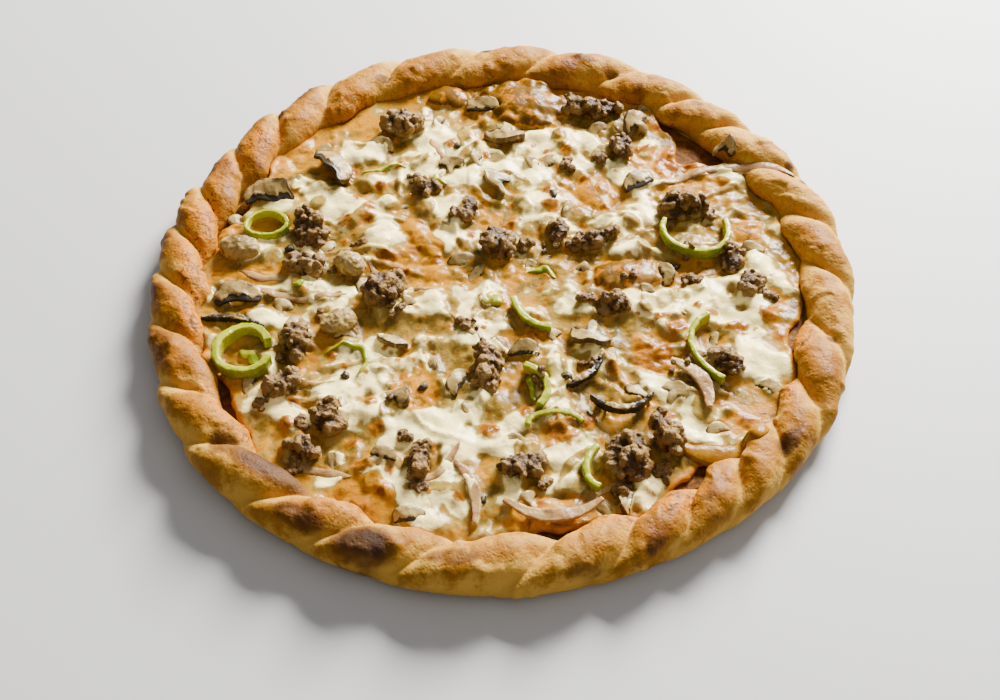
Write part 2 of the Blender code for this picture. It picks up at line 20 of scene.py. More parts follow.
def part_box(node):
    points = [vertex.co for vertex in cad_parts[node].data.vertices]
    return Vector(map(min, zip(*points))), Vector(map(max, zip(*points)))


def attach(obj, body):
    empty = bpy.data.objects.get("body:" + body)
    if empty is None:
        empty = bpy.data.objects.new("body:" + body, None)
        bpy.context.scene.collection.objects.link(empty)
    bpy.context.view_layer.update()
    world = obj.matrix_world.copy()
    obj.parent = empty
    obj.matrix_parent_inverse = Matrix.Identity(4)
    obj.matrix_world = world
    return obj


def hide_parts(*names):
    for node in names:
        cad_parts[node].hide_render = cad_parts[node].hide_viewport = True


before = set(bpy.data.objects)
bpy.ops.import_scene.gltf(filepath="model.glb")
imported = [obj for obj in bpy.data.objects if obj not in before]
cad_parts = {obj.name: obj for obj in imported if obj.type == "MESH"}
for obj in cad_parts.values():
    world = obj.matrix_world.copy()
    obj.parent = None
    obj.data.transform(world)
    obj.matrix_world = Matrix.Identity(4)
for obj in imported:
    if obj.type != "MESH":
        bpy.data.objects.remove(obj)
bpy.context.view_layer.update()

LOG = logging.getLogger("pizza")
MM = 0.001
DOWN = Vector((0.0, 0.0, -1.0))
ABOVE, BELOW = 60.0, -5.0  # heights clear of the pizza, for rays to start from
CHEESE_EDGE = 134.0  # about how far the cheese reaches from the middle
NOISE_RANGE = (0.3, 0.7)  # where most values of a noise node lie

Array = np.ndarray
Socket = bpy.types.NodeSocket
Value = Union[float, Sequence[float], Socket]
Colour = tuple[float, float, float]


class Shape(Enum):
    """How a mushroom slice was cut."""

    WHOLE = "W"
    CAP = "C"
    HALF = "H"


@dataclass(frozen=True)
class Spot:
    """An oval on the pizza seen from above.

    Args:
        x: Its centre to the right of the pizza's middle.
        y: Its centre away from the viewer.
        length: Its longer side.
        width: Its shorter side.
        turn: The angle of its longer side, in degrees.
        amount: How strong or how high it is.
    """

    x: float
    y: float
    length: float
    width: float
    turn: float = 0.0
    amount: float = 1.0


def spots(*rows: Sequence[float]) -> tuple[Spot, ...]:
    """Spots from rows of their numbers."""
    return tuple(Spot(*row) for row in rows)


# Where thick white cheese lies
WHITE_CHEESE = spots(
    (-28, 92, 34, 28), (-62, 86, 28, 14), (-50, 69, 34, 15, 10), (26, 90, 34, 24), (10, 72, 24, 18),
    (60, 67, 34, 18), (74, 90, 13, 20), (118, 66, 48, 9, -4), (-72, 48, 40, 22, -35),
    (-56, 28, 34, 17, -45), (-24, 50, 28, 16), (-22, 30, 24, 13), (20, 49, 22, 14), (24, 38, 34, 12),
    (56, 36, 30, 16), (-30, -12, 54, 18), (-8, -29, 34, 20, 30), (-56, -52, 36, 25), (-72, -62, 26, 20),
    (-96, -72, 28, 14, -40), (-60, -75, 32, 16), (-28, -84, 42, 30), (-40, -116, 44, 26), (-4, -90, 22, 24),
    (28, -97, 30, 18), (24, -113, 18, 12), (80, -13, 66, 22, 3), (116, -14, 34, 14), (121, 5, 18, 20),
    (112, -45, 24, 26), (44, -46, 20, 18), (24, -64, 16, 36), (79, -82, 24, 24, -35), (57, -120, 15, 20),
    (-114, 20, 20, 16), (-108, 48, 28, 10), (-95, -4, 54, 10, -8), (68, -62, 13, 32, 15), (38, 76, 16, 10),
    (-105, -22, 22, 9), (8, 14, 12, 16), (34, -14, 14, 16), (4, -118, 12, 20), (-80, -5, 26, 10),
    (98, -22, 30, 12), (-20, 66, 16, 14), (60, 18, 20, 8), (-86, 60, 20, 10, -40),
)  # fmt: skip

# Where the cheese is thin, and oil and sauce show through it
THIN_CHEESE = spots(
    (-115, 84, 46, 34, 30), (-133, 50, 14, 46, 0, 1.5), (-41, 12, 36, 20, -25), (44, 60, 20, 22),
    (-37, -62, 17, 22), (20, -127, 38, 15), (-57, -120, 26, 15, -20), (116, 33, 16, 14),
    (91, 79, 32, 22, 0, 1.6), (92, 60, 28, 9, 5), (67, -44, 20, 20, 0, 1.5), (12, -33, 24, 9, 0, 1.2),
    (94, 8, 30, 12), (-118, -57, 20, 13, -40), (-118, 6, 32, 11), (127, -24, 12, 26),
    (84, -108, 24, 12, 20, 1.5), (3, 8, 22, 18), (102, -80, 28, 11, 25), (-8, 52, 10, 12),
    (-68, 106, 26, 16, -30), (82, 106, 22, 12, -30, 1.3), (46, 2, 14, 12), (-84, -88, 14, 10),
    (60, 128, 40, 12, -20), (-30, 132, 50, 16, 10), (-5, 38, 10, 12),
)  # fmt: skip

# Blown-up domes of cheese skin
DOMES = spots(
    (13, 121, 44, 34, 0, 7.0), (-27, 128, 20, 15, 0, 4.2), (58, 3, 27, 20, 0, 4.8),
    (-37, 27, 27, 11, -52, 3.4), (46, 57, 17, 22, 10, 2.4), (-119, 73, 30, 26, 40, 3.2),
    (-38, -64, 20, 18, 0, 2.2), (-57, -117, 24, 17, -25, 2.8), (19, -126, 28, 15, 8, 2.6),
    (116, 29, 17, 15, 40, 2.6), (-117, 4, 30, 10, 0, 1.8), (-104, 92, 18, 14, 20, 2.2),
    (96, 60, 28, 9, 12, 2.2), (-30, 6, 12, 10, 0, 1.8),
)  # fmt: skip

# Small blisters browned by the oven
BLISTERS = spots(
    (-50, 76, 6, 6), (-58, 62, 8, 7), (-68, 54, 6, 6), (-62, 48, 6, 6), (-74, 38, 7, 7), (-63, 40, 7, 7),
    (-24, 90, 7, 7), (-72, 74, 5, 5), (21, 80, 6, 6), (33, 85, 6, 6), (72, 88, 10, 6), (23, 59, 7, 7),
    (24, 47, 7, 7), (37, 45, 4, 4), (56, 55, 5, 5), (50, 47, 5, 5), (78, -29, 9, 8), (72, -23, 6, 5),
    (106, -29, 11, 6), (39, -14, 5, 5), (36, -82, 7, 7), (48, -53, 6, 6), (70, -78, 7, 6), (103, -80, 8, 6),
    (24, -87, 12, 11), (-6, -84, 8, 8), (-57, -71, 6, 6), (-91, -81, 7, 7), (-89, -70, 5, 5),
    (-53, -83, 6, 6), (-63, -90, 6, 5), (-58, -103, 9, 7), (-75, -43, 6, 6), (-115, -18, 5, 5),
    (-18, -118, 5, 5), (67, -46, 15, 14), (63, -38, 8, 8), (12, -33, 9, 6), (-46, 6, 8, 7), (-52, 16, 7, 6),
    (-30, 14, 7, 6), (-40, 20, 6, 6), (42, 66, 8, 6), (50, 60, 6, 6), (-100, 62, 9, 7), (-114, 92, 12, 8),
    (-124, 80, 8, 10), (-118, 66, 7, 7), (-60, -122, 8, 6), (-50, -116, 6, 6), (14, -122, 7, 5),
    (26, -128, 8, 5), (120, -22, 8, 7), (124, -32, 6, 8), (118, 34, 6, 6), (-14, 30, 5, 5), (4, 36, 7, 6),
    (-6, 84, 5, 5), (86, 84, 8, 8), (96, 72, 6, 6), (-30, -94, 4, 4), (-72, -78, 5, 5), (10, -74, 6, 5),
    (-90, -52, 6, 6), (88, -18, 4, 4),
)  # fmt: skip

# Burnt marks on the crust, and where baked cheese colours its inner side orange
SCORCHES = spots(
    (-96, -108, 34, 11, -28, 0.85), (-115, -96, 13, 10, -45, 0.6), (-55, -144, 22, 13, -15, 1.0),
    (-81, -132, 20, 8, -25, 0.7), (-20, -151, 20, 7, -5, 0.45), (118, -97, 12, 7, 50, 0.8),
    (52, -157, 8, 7, 0, 1.0), (144, -42, 4, 4, 0, 0.8), (141, 68, 4, 4, 0, 0.9), (146, 55, 4, 4, 0, 0.9),
    (-7, 156, 5, 5, 0, 0.9), (-100, 122, 16, 8, 45, 0.4), (44, 146, 14, 5, -20, 0.45),
    (120, -120, 14, 10, 45, 0.35), (60, 137, 10, 4, -20, 0.5), (-147, -40, 12, 8, -70, 0.35),
    (100, 112, 6, 4, -45, 0.5), (-60, 136, 8, 4, 25, 0.6), (-110, 108, 6, 4, 40, 0.6),
    (-157, 22, 8, 6, 80, 0.35), (30, -155, 18, 8, 5, 0.3),
)  # fmt: skip
BAKED_ON = spots(
    (-140, 20, 14, 90, 0, 1.0), (-134, -30, 14, 40, 20, 1.0), (-122, 88, 20, 40, -40, 0.9),
    (-112, -80, 14, 44, 45, 1.0), (132, -36, 10, 26, -10, 1.0), (124, -68, 9, 22, -30, 0.9),
    (46, -131, 34, 9, 18, 0.9), (70, -125, 22, 12, 30, 1.0), (132, 12, 8, 26, 0, 0.7),
    (118, 62, 22, 12, -30, 0.5), (-66, -124, 30, 9, -28, 0.8), (-10, 138, 60, 8, 0, 0.6),
    (-75, 118, 34, 12, 32, 0.7), (60, 124, 34, 10, -25, 0.6), (0, -138, 40, 6, 0, 0.5),
)  # fmt: skip


class Plan:
    """Maps of the pizza seen from above, one number for each cell of a fine square grid."""

    def __init__(self, half: float = 168.0, cell: float = 0.5) -> None:
        """Lays out the grid.

        Args:
            half: How far it reaches from the pizza's middle.
            cell: The side of a cell.
        """
        self.half = half
        self.cell = cell
        self.count = int(2 * half / cell)
        line = -half + cell * np.arange(self.count)
        self.x, self.y = np.meshgrid(line, line)
        across, along = np.meshgrid(np.fft.rfftfreq(self.count, cell), np.fft.fftfreq(self.count, cell))
        self.frequency_squared = across**2 + along**2

    def blur(self, values: Array, size: float) -> Array:
        """Smooths a map.

        Args:
            values: The map.
            size: How far the smoothing reaches.

        Returns:
            The smoothed map.
        """
        kernel = np.exp(-2 * (math.pi * size) ** 2 * self.frequency_squared)
        return np.fft.irfft2(np.fft.rfft2(values) * kernel, s=values.shape)

    def noise(self, seed: int, size: float, octaves: int = 3) -> Array:
        """Makes smooth unevenness.

        Args:
            seed: Picks the pattern.
            size: How wide its largest lumps are.
            octaves: How many finer layers it has.

        Returns:
            A map around 0, mostly between -2 and 2.
        """
        draw = np.random.default_rng(seed)
        total = np.zeros_like(self.x)
        for octave in range(octaves):
            layer = self.blur(draw.standard_normal(self.x.shape), size * 0.4 / 2**octave)
            total += layer / layer.std() * 0.55**octave
        return total / total.std()

    def window(self, spot: Spot) -> tuple[slice, slice]:
        """The rows and columns round a spot."""
        reach = spot.length * 0.9 + 3
        sides = [(spot.y - reach, spot.y + reach), (spot.x - reach, spot.x + reach)]
        cells = [[max(0, int((side + self.half) / self.cell)) for side in pair] for pair in sides]
        return slice(*cells[0]), slice(*cells[1])

    def away(
        self, spot: Spot, where: tuple[slice, slice] = (slice(None), slice(None)), bend: float = 0.0
    ) -> Array:
        """How far cells are from a spot's middle, where 1 is the spot's edge.

        Args:
            spot: The spot, whose longer side may bend.
            where: The rows and columns to look at.
            bend: How much it bends.

        Returns:
            The distance at each cell.
        """
        turn = math.radians(spot.turn)
        x, y = self.x[where] - spot.x, self.y[where] - spot.y
        along = x * math.cos(turn) + y * math.sin(turn)
        across = y * math.cos(turn) - x * math.sin(turn) + bend * along**2
        return np.hypot(along / (spot.length / 2), across / (spot.width / 2))

    def at(self, values: Array, x: Array, y: Array) -> Array:
        """Reads a map at points between its cells."""
        column = np.clip((x + self.half) / self.cell, 0, self.count - 1.001)
        row = np.clip((y + self.half) / self.cell, 0, self.count - 1.001)
        left, low = column.astype(int), row.astype(int)
        right, up = column - left, row - low
        below = values[low, left] * (1 - right) + values[low, left + 1] * right
        above = values[low + 1, left] * (1 - right) + values[low + 1, left + 1] * right
        return below * (1 - up) + above * up

    def read(self, values: Array, x: float, y: float) -> float:
        """Reads a map at one point."""
        return float(self.at(values, np.array([x]), np.array([y]))[0])


def smooth(values: Array) -> Array:
    """A smooth step from 0 to 1 as the values go from 0 to 1."""
    values = np.clip(values, 0.0, 1.0)
    return values * values * (3 - 2 * values)


PLAN = Plan()


class Graph:
    """A material's nodes, made by short calls that take sockets or plain numbers."""

    def __init__(self, name: str) -> None:
        """Starts a material with one Principled shader."""
        self.material = bpy.data.materials.new(name)
        self.material.use_nodes = True
        self.nodes = self.material.node_tree.nodes
        self.links = self.material.node_tree.links
        self.shader = self.nodes["Principled BSDF"]
        self.place = self.nodes.new("ShaderNodeTexCoord").outputs["Object"]

    def feed(self, socket: Socket, value: Value) -> None:
        """Links a socket to another, or sets its number or colour."""
        if isinstance(value, bpy.types.NodeSocket):
            self.links.new(value, socket)
        elif isinstance(value, (int, float)):
            socket.default_value = value
        else:
            socket.default_value = (*value, 1.0) if len(socket.default_value) == 4 else tuple(value)

    def set(self, name: str, value: Value) -> None:
        """Feeds one of the shader's inputs."""
        self.feed(self.shader.inputs[name], value)

    def attribute(self, name: str) -> Socket:
        """Reads one of the mesh's own maps."""
        node = self.nodes.new("ShaderNodeAttribute")
        node.attribute_name = name
        return node.outputs["Fac"]

    def noise(self, size: float, detail: float = 3.0, twist: float = 0.0) -> Socket:
        """Cloudy noise with lumps of a size in millimetres."""
        node = self.nodes.new("ShaderNodeTexNoise")
        mapping = self.nodes.new("ShaderNodeMapping")
        self.links.new(self.place, mapping.inputs["Vector"])
        mapping.inputs["Scale"].default_value = [1 / (size * MM)] * 3
        self.links.new(mapping.outputs["Vector"], node.inputs["Vector"])
        node.inputs["Scale"].default_value = 1.0
        node.inputs["Detail"].default_value = detail
        node.inputs["Distortion"].default_value = twist
        return node.outputs["Fac"]

    def cells(self, size: float) -> Socket:
        """The distance to the nearest of many scattered points, a size in millimetres apart."""
        node = self.nodes.new("ShaderNodeTexVoronoi")
        self.links.new(self.place, node.inputs["Vector"])
        node.inputs["Scale"].default_value = 1 / (size * MM)
        return node.outputs["Distance"]

    def step(self, value: Value, low: float, high: float, start: float = 0.0, end: float = 1.0) -> Socket:
        """Turns a range of values into another by a smooth step."""
        node = self.nodes.new("ShaderNodeMapRange")
        node.interpolation_type = "SMOOTHSTEP"
        self.feed(node.inputs["Value"], value)
        node.inputs["From Min"].default_value = low
        node.inputs["From Max"].default_value = high
        node.inputs["To Min"].default_value = start
        node.inputs["To Max"].default_value = end
        return node.outputs["Result"]

    def sum(self, kind: str, first: Value, second: Value) -> Socket:
        """One step of arithmetic, such as ADD or MULTIPLY."""
        node = self.nodes.new("ShaderNodeMath")
        node.operation = kind
        self.feed(node.inputs[0], first)
        self.feed(node.inputs[1], second)
        return node.outputs[0]

    def mix(self, share: Value, first: Value, second: Value) -> Socket:
        """A colour between two others."""
        node = self.nodes.new("ShaderNodeMix")
        node.data_type = "RGBA"
        self.feed(node.inputs[0], share)
        self.feed(node.inputs[6], first)
        self.feed(node.inputs[7], second)
        return node.outputs[2]

    def bump(self, height: Value, depth: float, under: Union[Socket, None] = None) -> Socket:
        """A relief of a depth in millimetres, on top of another."""
        node = self.nodes.new("ShaderNodeBump")
        node.inputs["Distance"].default_value = depth * MM
        self.feed(node.inputs["Height"], height)
        if under:
            self.links.new(under, node.inputs["Normal"])
        return node.outputs["Normal"]

    def glow(self, weight: float, radius: Colour) -> None:
        """Lets light soak in, to a radius in millimetres for red, green and blue."""
        self.set("Subsurface Weight", weight)
        self.shader.inputs["Subsurface Radius"].default_value = radius
        self.set("Subsurface Scale", MM)

    def uneven(self, value: Value, cloud: Socket, amount: float) -> Socket:
        """Adds noise to a value, up to an amount each way."""
        return self.sum("ADD", value, self.step(cloud, *NOISE_RANGE, -amount, amount))

    def lay(
        self, under: Value, over: Value, value: Value, low: float, high: float, share: float = 1.0
    ) -> Socket:
        """Lays a colour over another where a value is high.

        Args:
            under: The colour below.
            over: The colour on top.
            value: What decides where it lies.
            low: The value at which it starts to show.
            high: The value at which it shows most.
            share: How much it hides there.

        Returns:
            The mixed colour.
        """
        return self.mix(self.step(value, low, high, 0.0, share), under, over)

    def finish(self, colour: Value, roughness: Value, relief: Value, specular: float) -> bpy.types.Material:
        """Feeds the shader its colour, roughness, relief and specular level, and gives the material."""
        self.set("Base Color", colour)
        self.set("Roughness", roughness)
        self.set("Specular IOR Level", specular)
        self.set("Normal", relief)
        return self.material


@dataclass(frozen=True)
class DoughFinish:
    """Baked dough: pale in its creases, golden on its folds and scorched in places."""

    pale: Colour = (0.45, 0.245, 0.036)
    golden: Colour = (0.24, 0.098, 0.004)
    brown: Colour = (0.085, 0.027, 0.003)
    burnt: Colour = (0.026, 0.012, 0.007)
    orange: Colour = (0.42, 0.135, 0.0003)

    def material(self) -> bpy.types.Material:
        """Makes the material. It reads the mesh's toast map, which also holds painted shade and painted
        light, and its scorch and oil maps.
        """
        graph = Graph("baked_dough")
        cloud = graph.noise(9.0, 4.0, 0.4)
        crust = graph.noise(3.1, 5.0, 1.0)
        toast = graph.uneven(graph.attribute("toast"), cloud, 0.16)
        toast = graph.uneven(toast, graph.noise(1.6, 4.0), 0.08)
        scorch = graph.uneven(graph.attribute("scorch"), cloud, 0.10)
        patches = graph.step(graph.noise(4.0, 4.0, 0.6), 0.30, 0.52)
        oil = graph.sum("MULTIPLY", graph.attribute("oil"), patches)
        spots = graph.sum("MULTIPLY", graph.attribute("oil"), graph.step(crust, 0.53, 0.62))
        colour = graph.lay(self.pale, self.golden, toast, 0.05, 0.55)
        colour = graph.lay(colour, self.brown, toast, 0.55, 1.05)
        colour = graph.mix(graph.sum("MULTIPLY", oil, 0.95), colour, self.orange)
        colour = graph.mix(graph.sum("MULTIPLY", spots, 0.8), colour, self.brown)
        colour = graph.lay(colour, self.brown, scorch, 0.02, 0.50, 0.8)
        colour = graph.lay(colour, self.burnt, scorch, 0.45, 1.10, 0.9)
        shine = graph.sum("ADD", oil, graph.attribute("toast"))
        graph.glow(0.12, (1.6, 0.8, 0.35))
        relief = graph.bump(graph.noise(2.6, 5.0, 0.3), 0.35)
        relief = graph.bump(graph.sum("MULTIPLY", crust, oil), 0.5, relief)
        relief = graph.bump(graph.step(graph.cells(1.7), 0.0, 0.55), 0.12, relief)
        return graph.finish(colour, graph.step(shine, 0.2, 1.4, 0.66, 0.48), relief, 0.1)


@dataclass(frozen=True)
class CheeseFinish:
    """Melted cheese: white where it is thick, oily and orange where it is thin, and browned in blisters."""

    white: Colour = (0.96, 0.79, 0.33)
    cream: Colour = (0.29, 0.19, 0.036)
    tan: Colour = (0.12, 0.071, 0.007)
    golden: Colour = (0.42, 0.173, 0.0003)
    deep: Colour = (0.1, 0.043, 0.0005)
    pink: Colour = (0.26, 0.13, 0.028)
    # gill is laid both where gills show through the cheese and as painted shade beside the toppings
    gill: Colour = (0.045, 0.026, 0.01)
    sauce: Colour = (0.2, 0.042, 0.001)
    amber: Colour = (0.35, 0.118, 0.0003)
    brown: Colour = (0.15, 0.047, 0.0005)
    dark: Colour = (0.075, 0.024, 0.001)

    def material(self) -> bpy.types.Material:
        """Makes the material. It reads the mesh's white, gold, pink, dark, sauce and toast maps; the dark map
        holds gills showing through and painted shade beside the toppings.
        """
        graph = Graph("melted_cheese")
        fine = graph.noise(2.2, 5.0, 0.5)
        cloud = graph.noise(6.0, 4.0, 0.8)
        white = graph.uneven(graph.uneven(graph.attribute("white"), cloud, 0.16), fine, 0.04)
        gold = graph.uneven(graph.attribute("gold"), cloud, 0.25)
        sauce = graph.uneven(graph.attribute("sauce"), fine, 0.14)
        toast = graph.uneven(graph.attribute("toast"), fine, 0.18)
        fleck = graph.step(graph.noise(2.0, 4.0, 1.0), 0.54, 0.66, 0.0, 0.8)
        fleck = graph.sum("MULTIPLY", fleck, graph.step(gold, 0.95, 1.35, 1.0, 0.15))
        fleck = graph.sum("MULTIPLY", fleck, graph.step(white, 0.25, 0.7, 1.0, 0.0))
        colour = graph.lay(graph.mix(gold, self.tan, self.golden), self.deep, gold, 0.95, 1.35)
        colour = graph.mix(graph.sum("MULTIPLY", graph.attribute("pink"), 0.8), colour, self.pink)
        colour = graph.lay(colour, self.cream, white, -0.15, 0.36)
        colour = graph.lay(colour, self.white, white, 0.46, 0.96)
        colour = graph.mix(fleck, colour, self.amber)
        colour = graph.lay(colour, self.sauce, sauce, 0.25, 0.8, 0.85)
        # The gill colour on the dark map: gills showing through thin cheese, and painted shade beside the
        # toppings.
        colour = graph.lay(colour, self.gill, graph.attribute("dark"), 0.1, 1.0, 0.8)
        colour = graph.lay(colour, self.amber, toast, 0.16, 0.46, 0.9)
        colour = graph.lay(colour, self.brown, toast, 0.60, 1.05, 0.85)
        colour = graph.lay(colour, self.dark, toast, 1.05, 1.40, 0.8)
        sparkle = graph.step(fine, 0.58, 0.66, 0.0, 0.2)
        matt = graph.sum("SUBTRACT", graph.step(white, 0.0, 0.5, 0.30, 0.20), sparkle)
        graph.glow(0.15, (2.0, 1.2, 0.5))
        wet = graph.sum("MULTIPLY", graph.noise(3.2, 4.0, 0.6), graph.step(white, 0.0, 0.6, 0.8, 1.0))
        relief = graph.bump(graph.noise(0.9, 3.0), 0.04, graph.bump(wet, 0.4))
        return graph.finish(colour, graph.sum("MAXIMUM", matt, 0.16), relief, 0.13)


@dataclass(frozen=True)
class MeatFinish:
    """Browned minced meat with a film of fat, with painted shade in its hollows and painted light on its
    raised grains.
    """

    light: Colour = (0.205, 0.114, 0.031)
    middle: Colour = (0.128, 0.065, 0.016)
    dark: Colour = (0.045, 0.02, 0.0045)

    def material(self) -> bpy.types.Material:
        """Makes the material. It reads the mesh's ridge map, which sets the painted shade and painted light.
        """
        graph = Graph("browned_meat")
        ridge = graph.uneven(graph.attribute("ridge"), graph.noise(1.3, 4.0), 0.22)
        ridge = graph.uneven(ridge, graph.noise(7.0, 2.0), 0.20)
        # Painted shade in the hollows and painted light on the raised grains, by the ridge map.
        colour = graph.lay(self.dark, self.middle, ridge, 0.05, 0.45)
        colour = graph.lay(colour, self.light, ridge, 0.45, 0.95)
        graph.glow(0.08, (0.9, 0.4, 0.2))
        relief = graph.bump(graph.cells(0.9), 0.18, graph.bump(graph.noise(1.1, 5.0, 0.4), 0.45))
        return graph.finish(colour, graph.step(graph.noise(1.8, 4.0), 0.35, 0.65, 0.38, 0.66), relief, 0.16)


@dataclass(frozen=True)
class MushroomFinish:
    """Cooked mushroom: beige flesh, a brown skin along the cap's edge and near-black gills."""

    flesh: Colour = (0.35, 0.235, 0.07)
    tan: Colour = (0.175, 0.105, 0.03)
    skin: Colour = (0.06, 0.028, 0.009)
    gill: Colour = (0.02, 0.0135, 0.009)

    def material(self) -> bpy.types.Material:
        """Makes the material. It reads the mesh's gill and skin maps."""
        graph = Graph("cooked_mushroom")
        cloud = graph.noise(4.0, 4.0, 0.5)
        fine = graph.noise(1.2, 4.0)
        colour = graph.lay(self.flesh, self.tan, cloud, 0.42, 0.70)
        skin, gill = (graph.uneven(graph.attribute(name), fine, 0.2) for name in ("skin", "gill"))
        colour = graph.lay(colour, self.skin, skin, 0.25, 0.85, 0.9)
        colour = graph.lay(colour, self.gill, gill, 0.3, 0.7, 0.97)
        graph.glow(0.12, (1.0, 0.6, 0.3))
        relief = graph.bump(cloud, 0.4, graph.bump(graph.noise(0.8, 4.0), 0.12))
        return graph.finish(colour, graph.step(cloud, 0.35, 0.65, 0.25, 0.5), relief, 0.2)


@dataclass(frozen=True)
class PepperFinish:
    """Cooked green pepper: a shiny yellow-green skin and paler flesh."""

    skin: Colour = (0.17, 0.21, 0.0006)
    bright: Colour = (0.27, 0.31, 0.001)
    flesh: Colour = (0.36, 0.35, 0.02)

    def material(self) -> bpy.types.Material:
        """Makes the material. It reads the mesh's skin map."""
        graph = Graph("green_pepper")
        colour = graph.lay(self.skin, self.bright, graph.noise(6.0, 3.0, 0.5), 0.35, 0.65)
        colour = graph.lay(self.flesh, colour, graph.attribute("skin"), 0.35, 0.65)
        graph.glow(0.25, (1.6, 1.8, 0.4))
        relief = graph.bump(graph.noise(2.0, 4.0, 0.5), 0.2)
        return graph.finish(colour, graph.step(graph.noise(2.5), *NOISE_RANGE, 0.12, 0.32), relief, 0.3)


@dataclass(frozen=True)
class CloudedFinish:
    """A soft, wet finish in two colours that run into each other.

    Args:
        name: The material's name.
        first: One colour.
        second: The other.
        cloud: The size, detail and twist of the patches of colour.
        turn: Where in the cloud the first colour turns into the second.
        gloss_size: The size of the patches of gloss.
        roughness: The lowest and the highest roughness.
        specular: How strongly it mirrors.
        grain: The size, detail and twist of its relief.
        depth: The depth of its relief.
        glow: How much light soaks in.
        radius: How far red, green and blue light soak in.
    """

    name: str
    first: Colour
    second: Colour
    cloud: tuple[float, float, float]
    turn: tuple[float, float]
    gloss_size: float
    roughness: tuple[float, float]
    specular: float
    grain: tuple[float, float, float]
    depth: float
    glow: float = 0.0
    radius: Colour = (1.0, 1.0, 1.0)

    def material(self) -> bpy.types.Material:
        """Makes the material."""
        graph = Graph(self.name)
        colour = graph.lay(self.first, self.second, graph.noise(*self.cloud), *self.turn)
        roughness = graph.step(graph.noise(self.gloss_size), *NOISE_RANGE, *self.roughness)
        if self.glow:
            graph.glow(self.glow, self.radius)
        relief = graph.bump(graph.noise(*self.grain), self.depth)
        return graph.finish(colour, roughness, relief, self.specular)


SAUCE_FINISH = CloudedFinish(
    "tomato_sauce", (0.085, 0.026, 0.0005), (0.15, 0.054, 0.0005), (5.0, 5.0, 1.0), (0.38, 0.62),
    3.0, (0.45, 0.65), 0.06, (1.9, 5.0, 0.5), 0.6,
)  # fmt: skip
YELLOW_PEPPER_FINISH = CloudedFinish(
    "yellow_pepper", (0.27, 0.125, 0.002), (0.19, 0.07, 0.001), (7.0, 4.0, 0.5), (0.38, 0.64),
    2.5, (0.14, 0.36), 0.1, (2.0, 4.0, 0.5), 0.25, 0.25, (1.8, 1.0, 0.3),
)  # fmt: skip
ONION_FINISH = CloudedFinish(
    "cooked_onion", (0.36, 0.225, 0.085), (0.25, 0.125, 0.048), (8.0, 3.0, 0.6), (0.36, 0.64),
    2.0, (0.14, 0.34), 0.15, (1.6, 3.0, 0.8), 0.25, 0.4, (2.4, 1.5, 0.9),
)  # fmt: skip


@dataclass(frozen=True)
class FloorFinish:
    """A plain pale floor."""

    grey: Colour = (0.47, 0.465, 0.47)

    def material(self) -> bpy.types.Material:
        """Makes the material."""
        graph = Graph("pale_floor")
        shade = tuple(channel * 0.985 for channel in self.grey)
        graph.set("Base Color", graph.mix(graph.noise(400.0, 2.0), self.grey, shade))
        graph.set("Roughness", 0.6)
        return graph.material


def deselect() -> None:
    """Deselects everything."""
    for other in bpy.context.selected_objects:
        other.select_set(False)


def select_only(piece: bpy.types.Object) -> None:
    """Selects one piece alone and makes it the active one."""
    deselect()
    piece.select_set(True)
    bpy.context.view_layer.objects.active = piece


def apply_modifier(piece: bpy.types.Object, kind: str, **settings: object) -> None:
    """Adds a modifier to a piece and applies it.

    Args:
        piece: The piece.
        kind: The modifier's type, such as REMESH.
        settings: Its properties by name.
    """
    select_only(piece)
    modifier = piece.modifiers.new(kind.lower(), kind)
    for name, value in settings.items():
        setattr(modifier, name, value)
    bpy.ops.object.modifier_apply(modifier=modifier.name)


def remesh(piece: bpy.types.Object, voxel: float, rounds: int = 0) -> None:
    """Gives a piece small even faces, and smooths it in a number of rounds."""
    apply_modifier(piece, "REMESH", mode="VOXEL", voxel_size=voxel * MM, adaptivity=0.0)
    if rounds:
        apply_modifier(piece, "SMOOTH", factor=0.5, iterations=rounds)


def displace(piece: bpy.types.Object, size: float, strength: float, detail: int = 2) -> None:
    """Pushes a piece's surface in and out by clouds.

    Args:
        piece: The piece.
        size: The size of the clouds.
        strength: How far the surface moves.
        detail: How many finer layers the clouds have.
    """
    texture = bpy.data.textures.new(f"{piece.name}_clouds", "CLOUDS")
    texture.noise_scale = size * MM
    texture.noise_depth = detail
    settings = {"strength": strength * MM, "mid_level": 0.5, "texture_coords": "LOCAL"}
    apply_modifier(piece, "DISPLACE", texture=texture, **settings)


def turned(x: Array, y: Array, degrees: float) -> tuple[Array, Array]:
    """Turns places anticlockwise about the middle."""
    turn = math.radians(degrees)
    return x * math.cos(turn) - y * math.sin(turn), x * math.sin(turn) + y * math.cos(turn)


def soften(values: Array, rounds: int) -> None:
    """Smooths a run of values in place, between its fixed ends."""
    for _ in range(rounds):
        values[1:-1] = (values[:-2] + values[2:] + 2 * values[1:-1]) / 4


def tidy_mesh(piece: bpy.types.Object, within: float = 1e-6) -> None:
    """Merges points that lie together and points every face outwards."""
    select_only(piece)
    bpy.ops.object.mode_set(mode="EDIT")
    bpy.ops.mesh.select_all(action="SELECT")
    bpy.ops.mesh.remove_doubles(threshold=within)
    bpy.ops.mesh.normals_make_consistent(inside=False)
    bpy.ops.object.mode_set(mode="OBJECT")


def points_of(piece: bpy.types.Object) -> Array:
    """A piece's points, in millimetres, one row each."""
    flat = np.empty(len(piece.data.vertices) * 3, np.float32)
    piece.data.vertices.foreach_get("co", flat)
    return flat.reshape(-1, 3).astype(float) / MM


def move_points(piece: bpy.types.Object, points: Array) -> None:
    """Puts a piece's points at new places, in millimetres."""
    piece.data.vertices.foreach_set("co", (points * MM).astype(np.float32).ravel())
    piece.data.update()


def normals_of(piece: bpy.types.Object) -> Array:
    """The way that a piece's surface faces at each of its points."""
    flat = np.empty(len(piece.data.vertices) * 3, np.float32)
    piece.data.vertex_normals.foreach_get("vector", flat)
    return flat.reshape(-1, 3).astype(float)


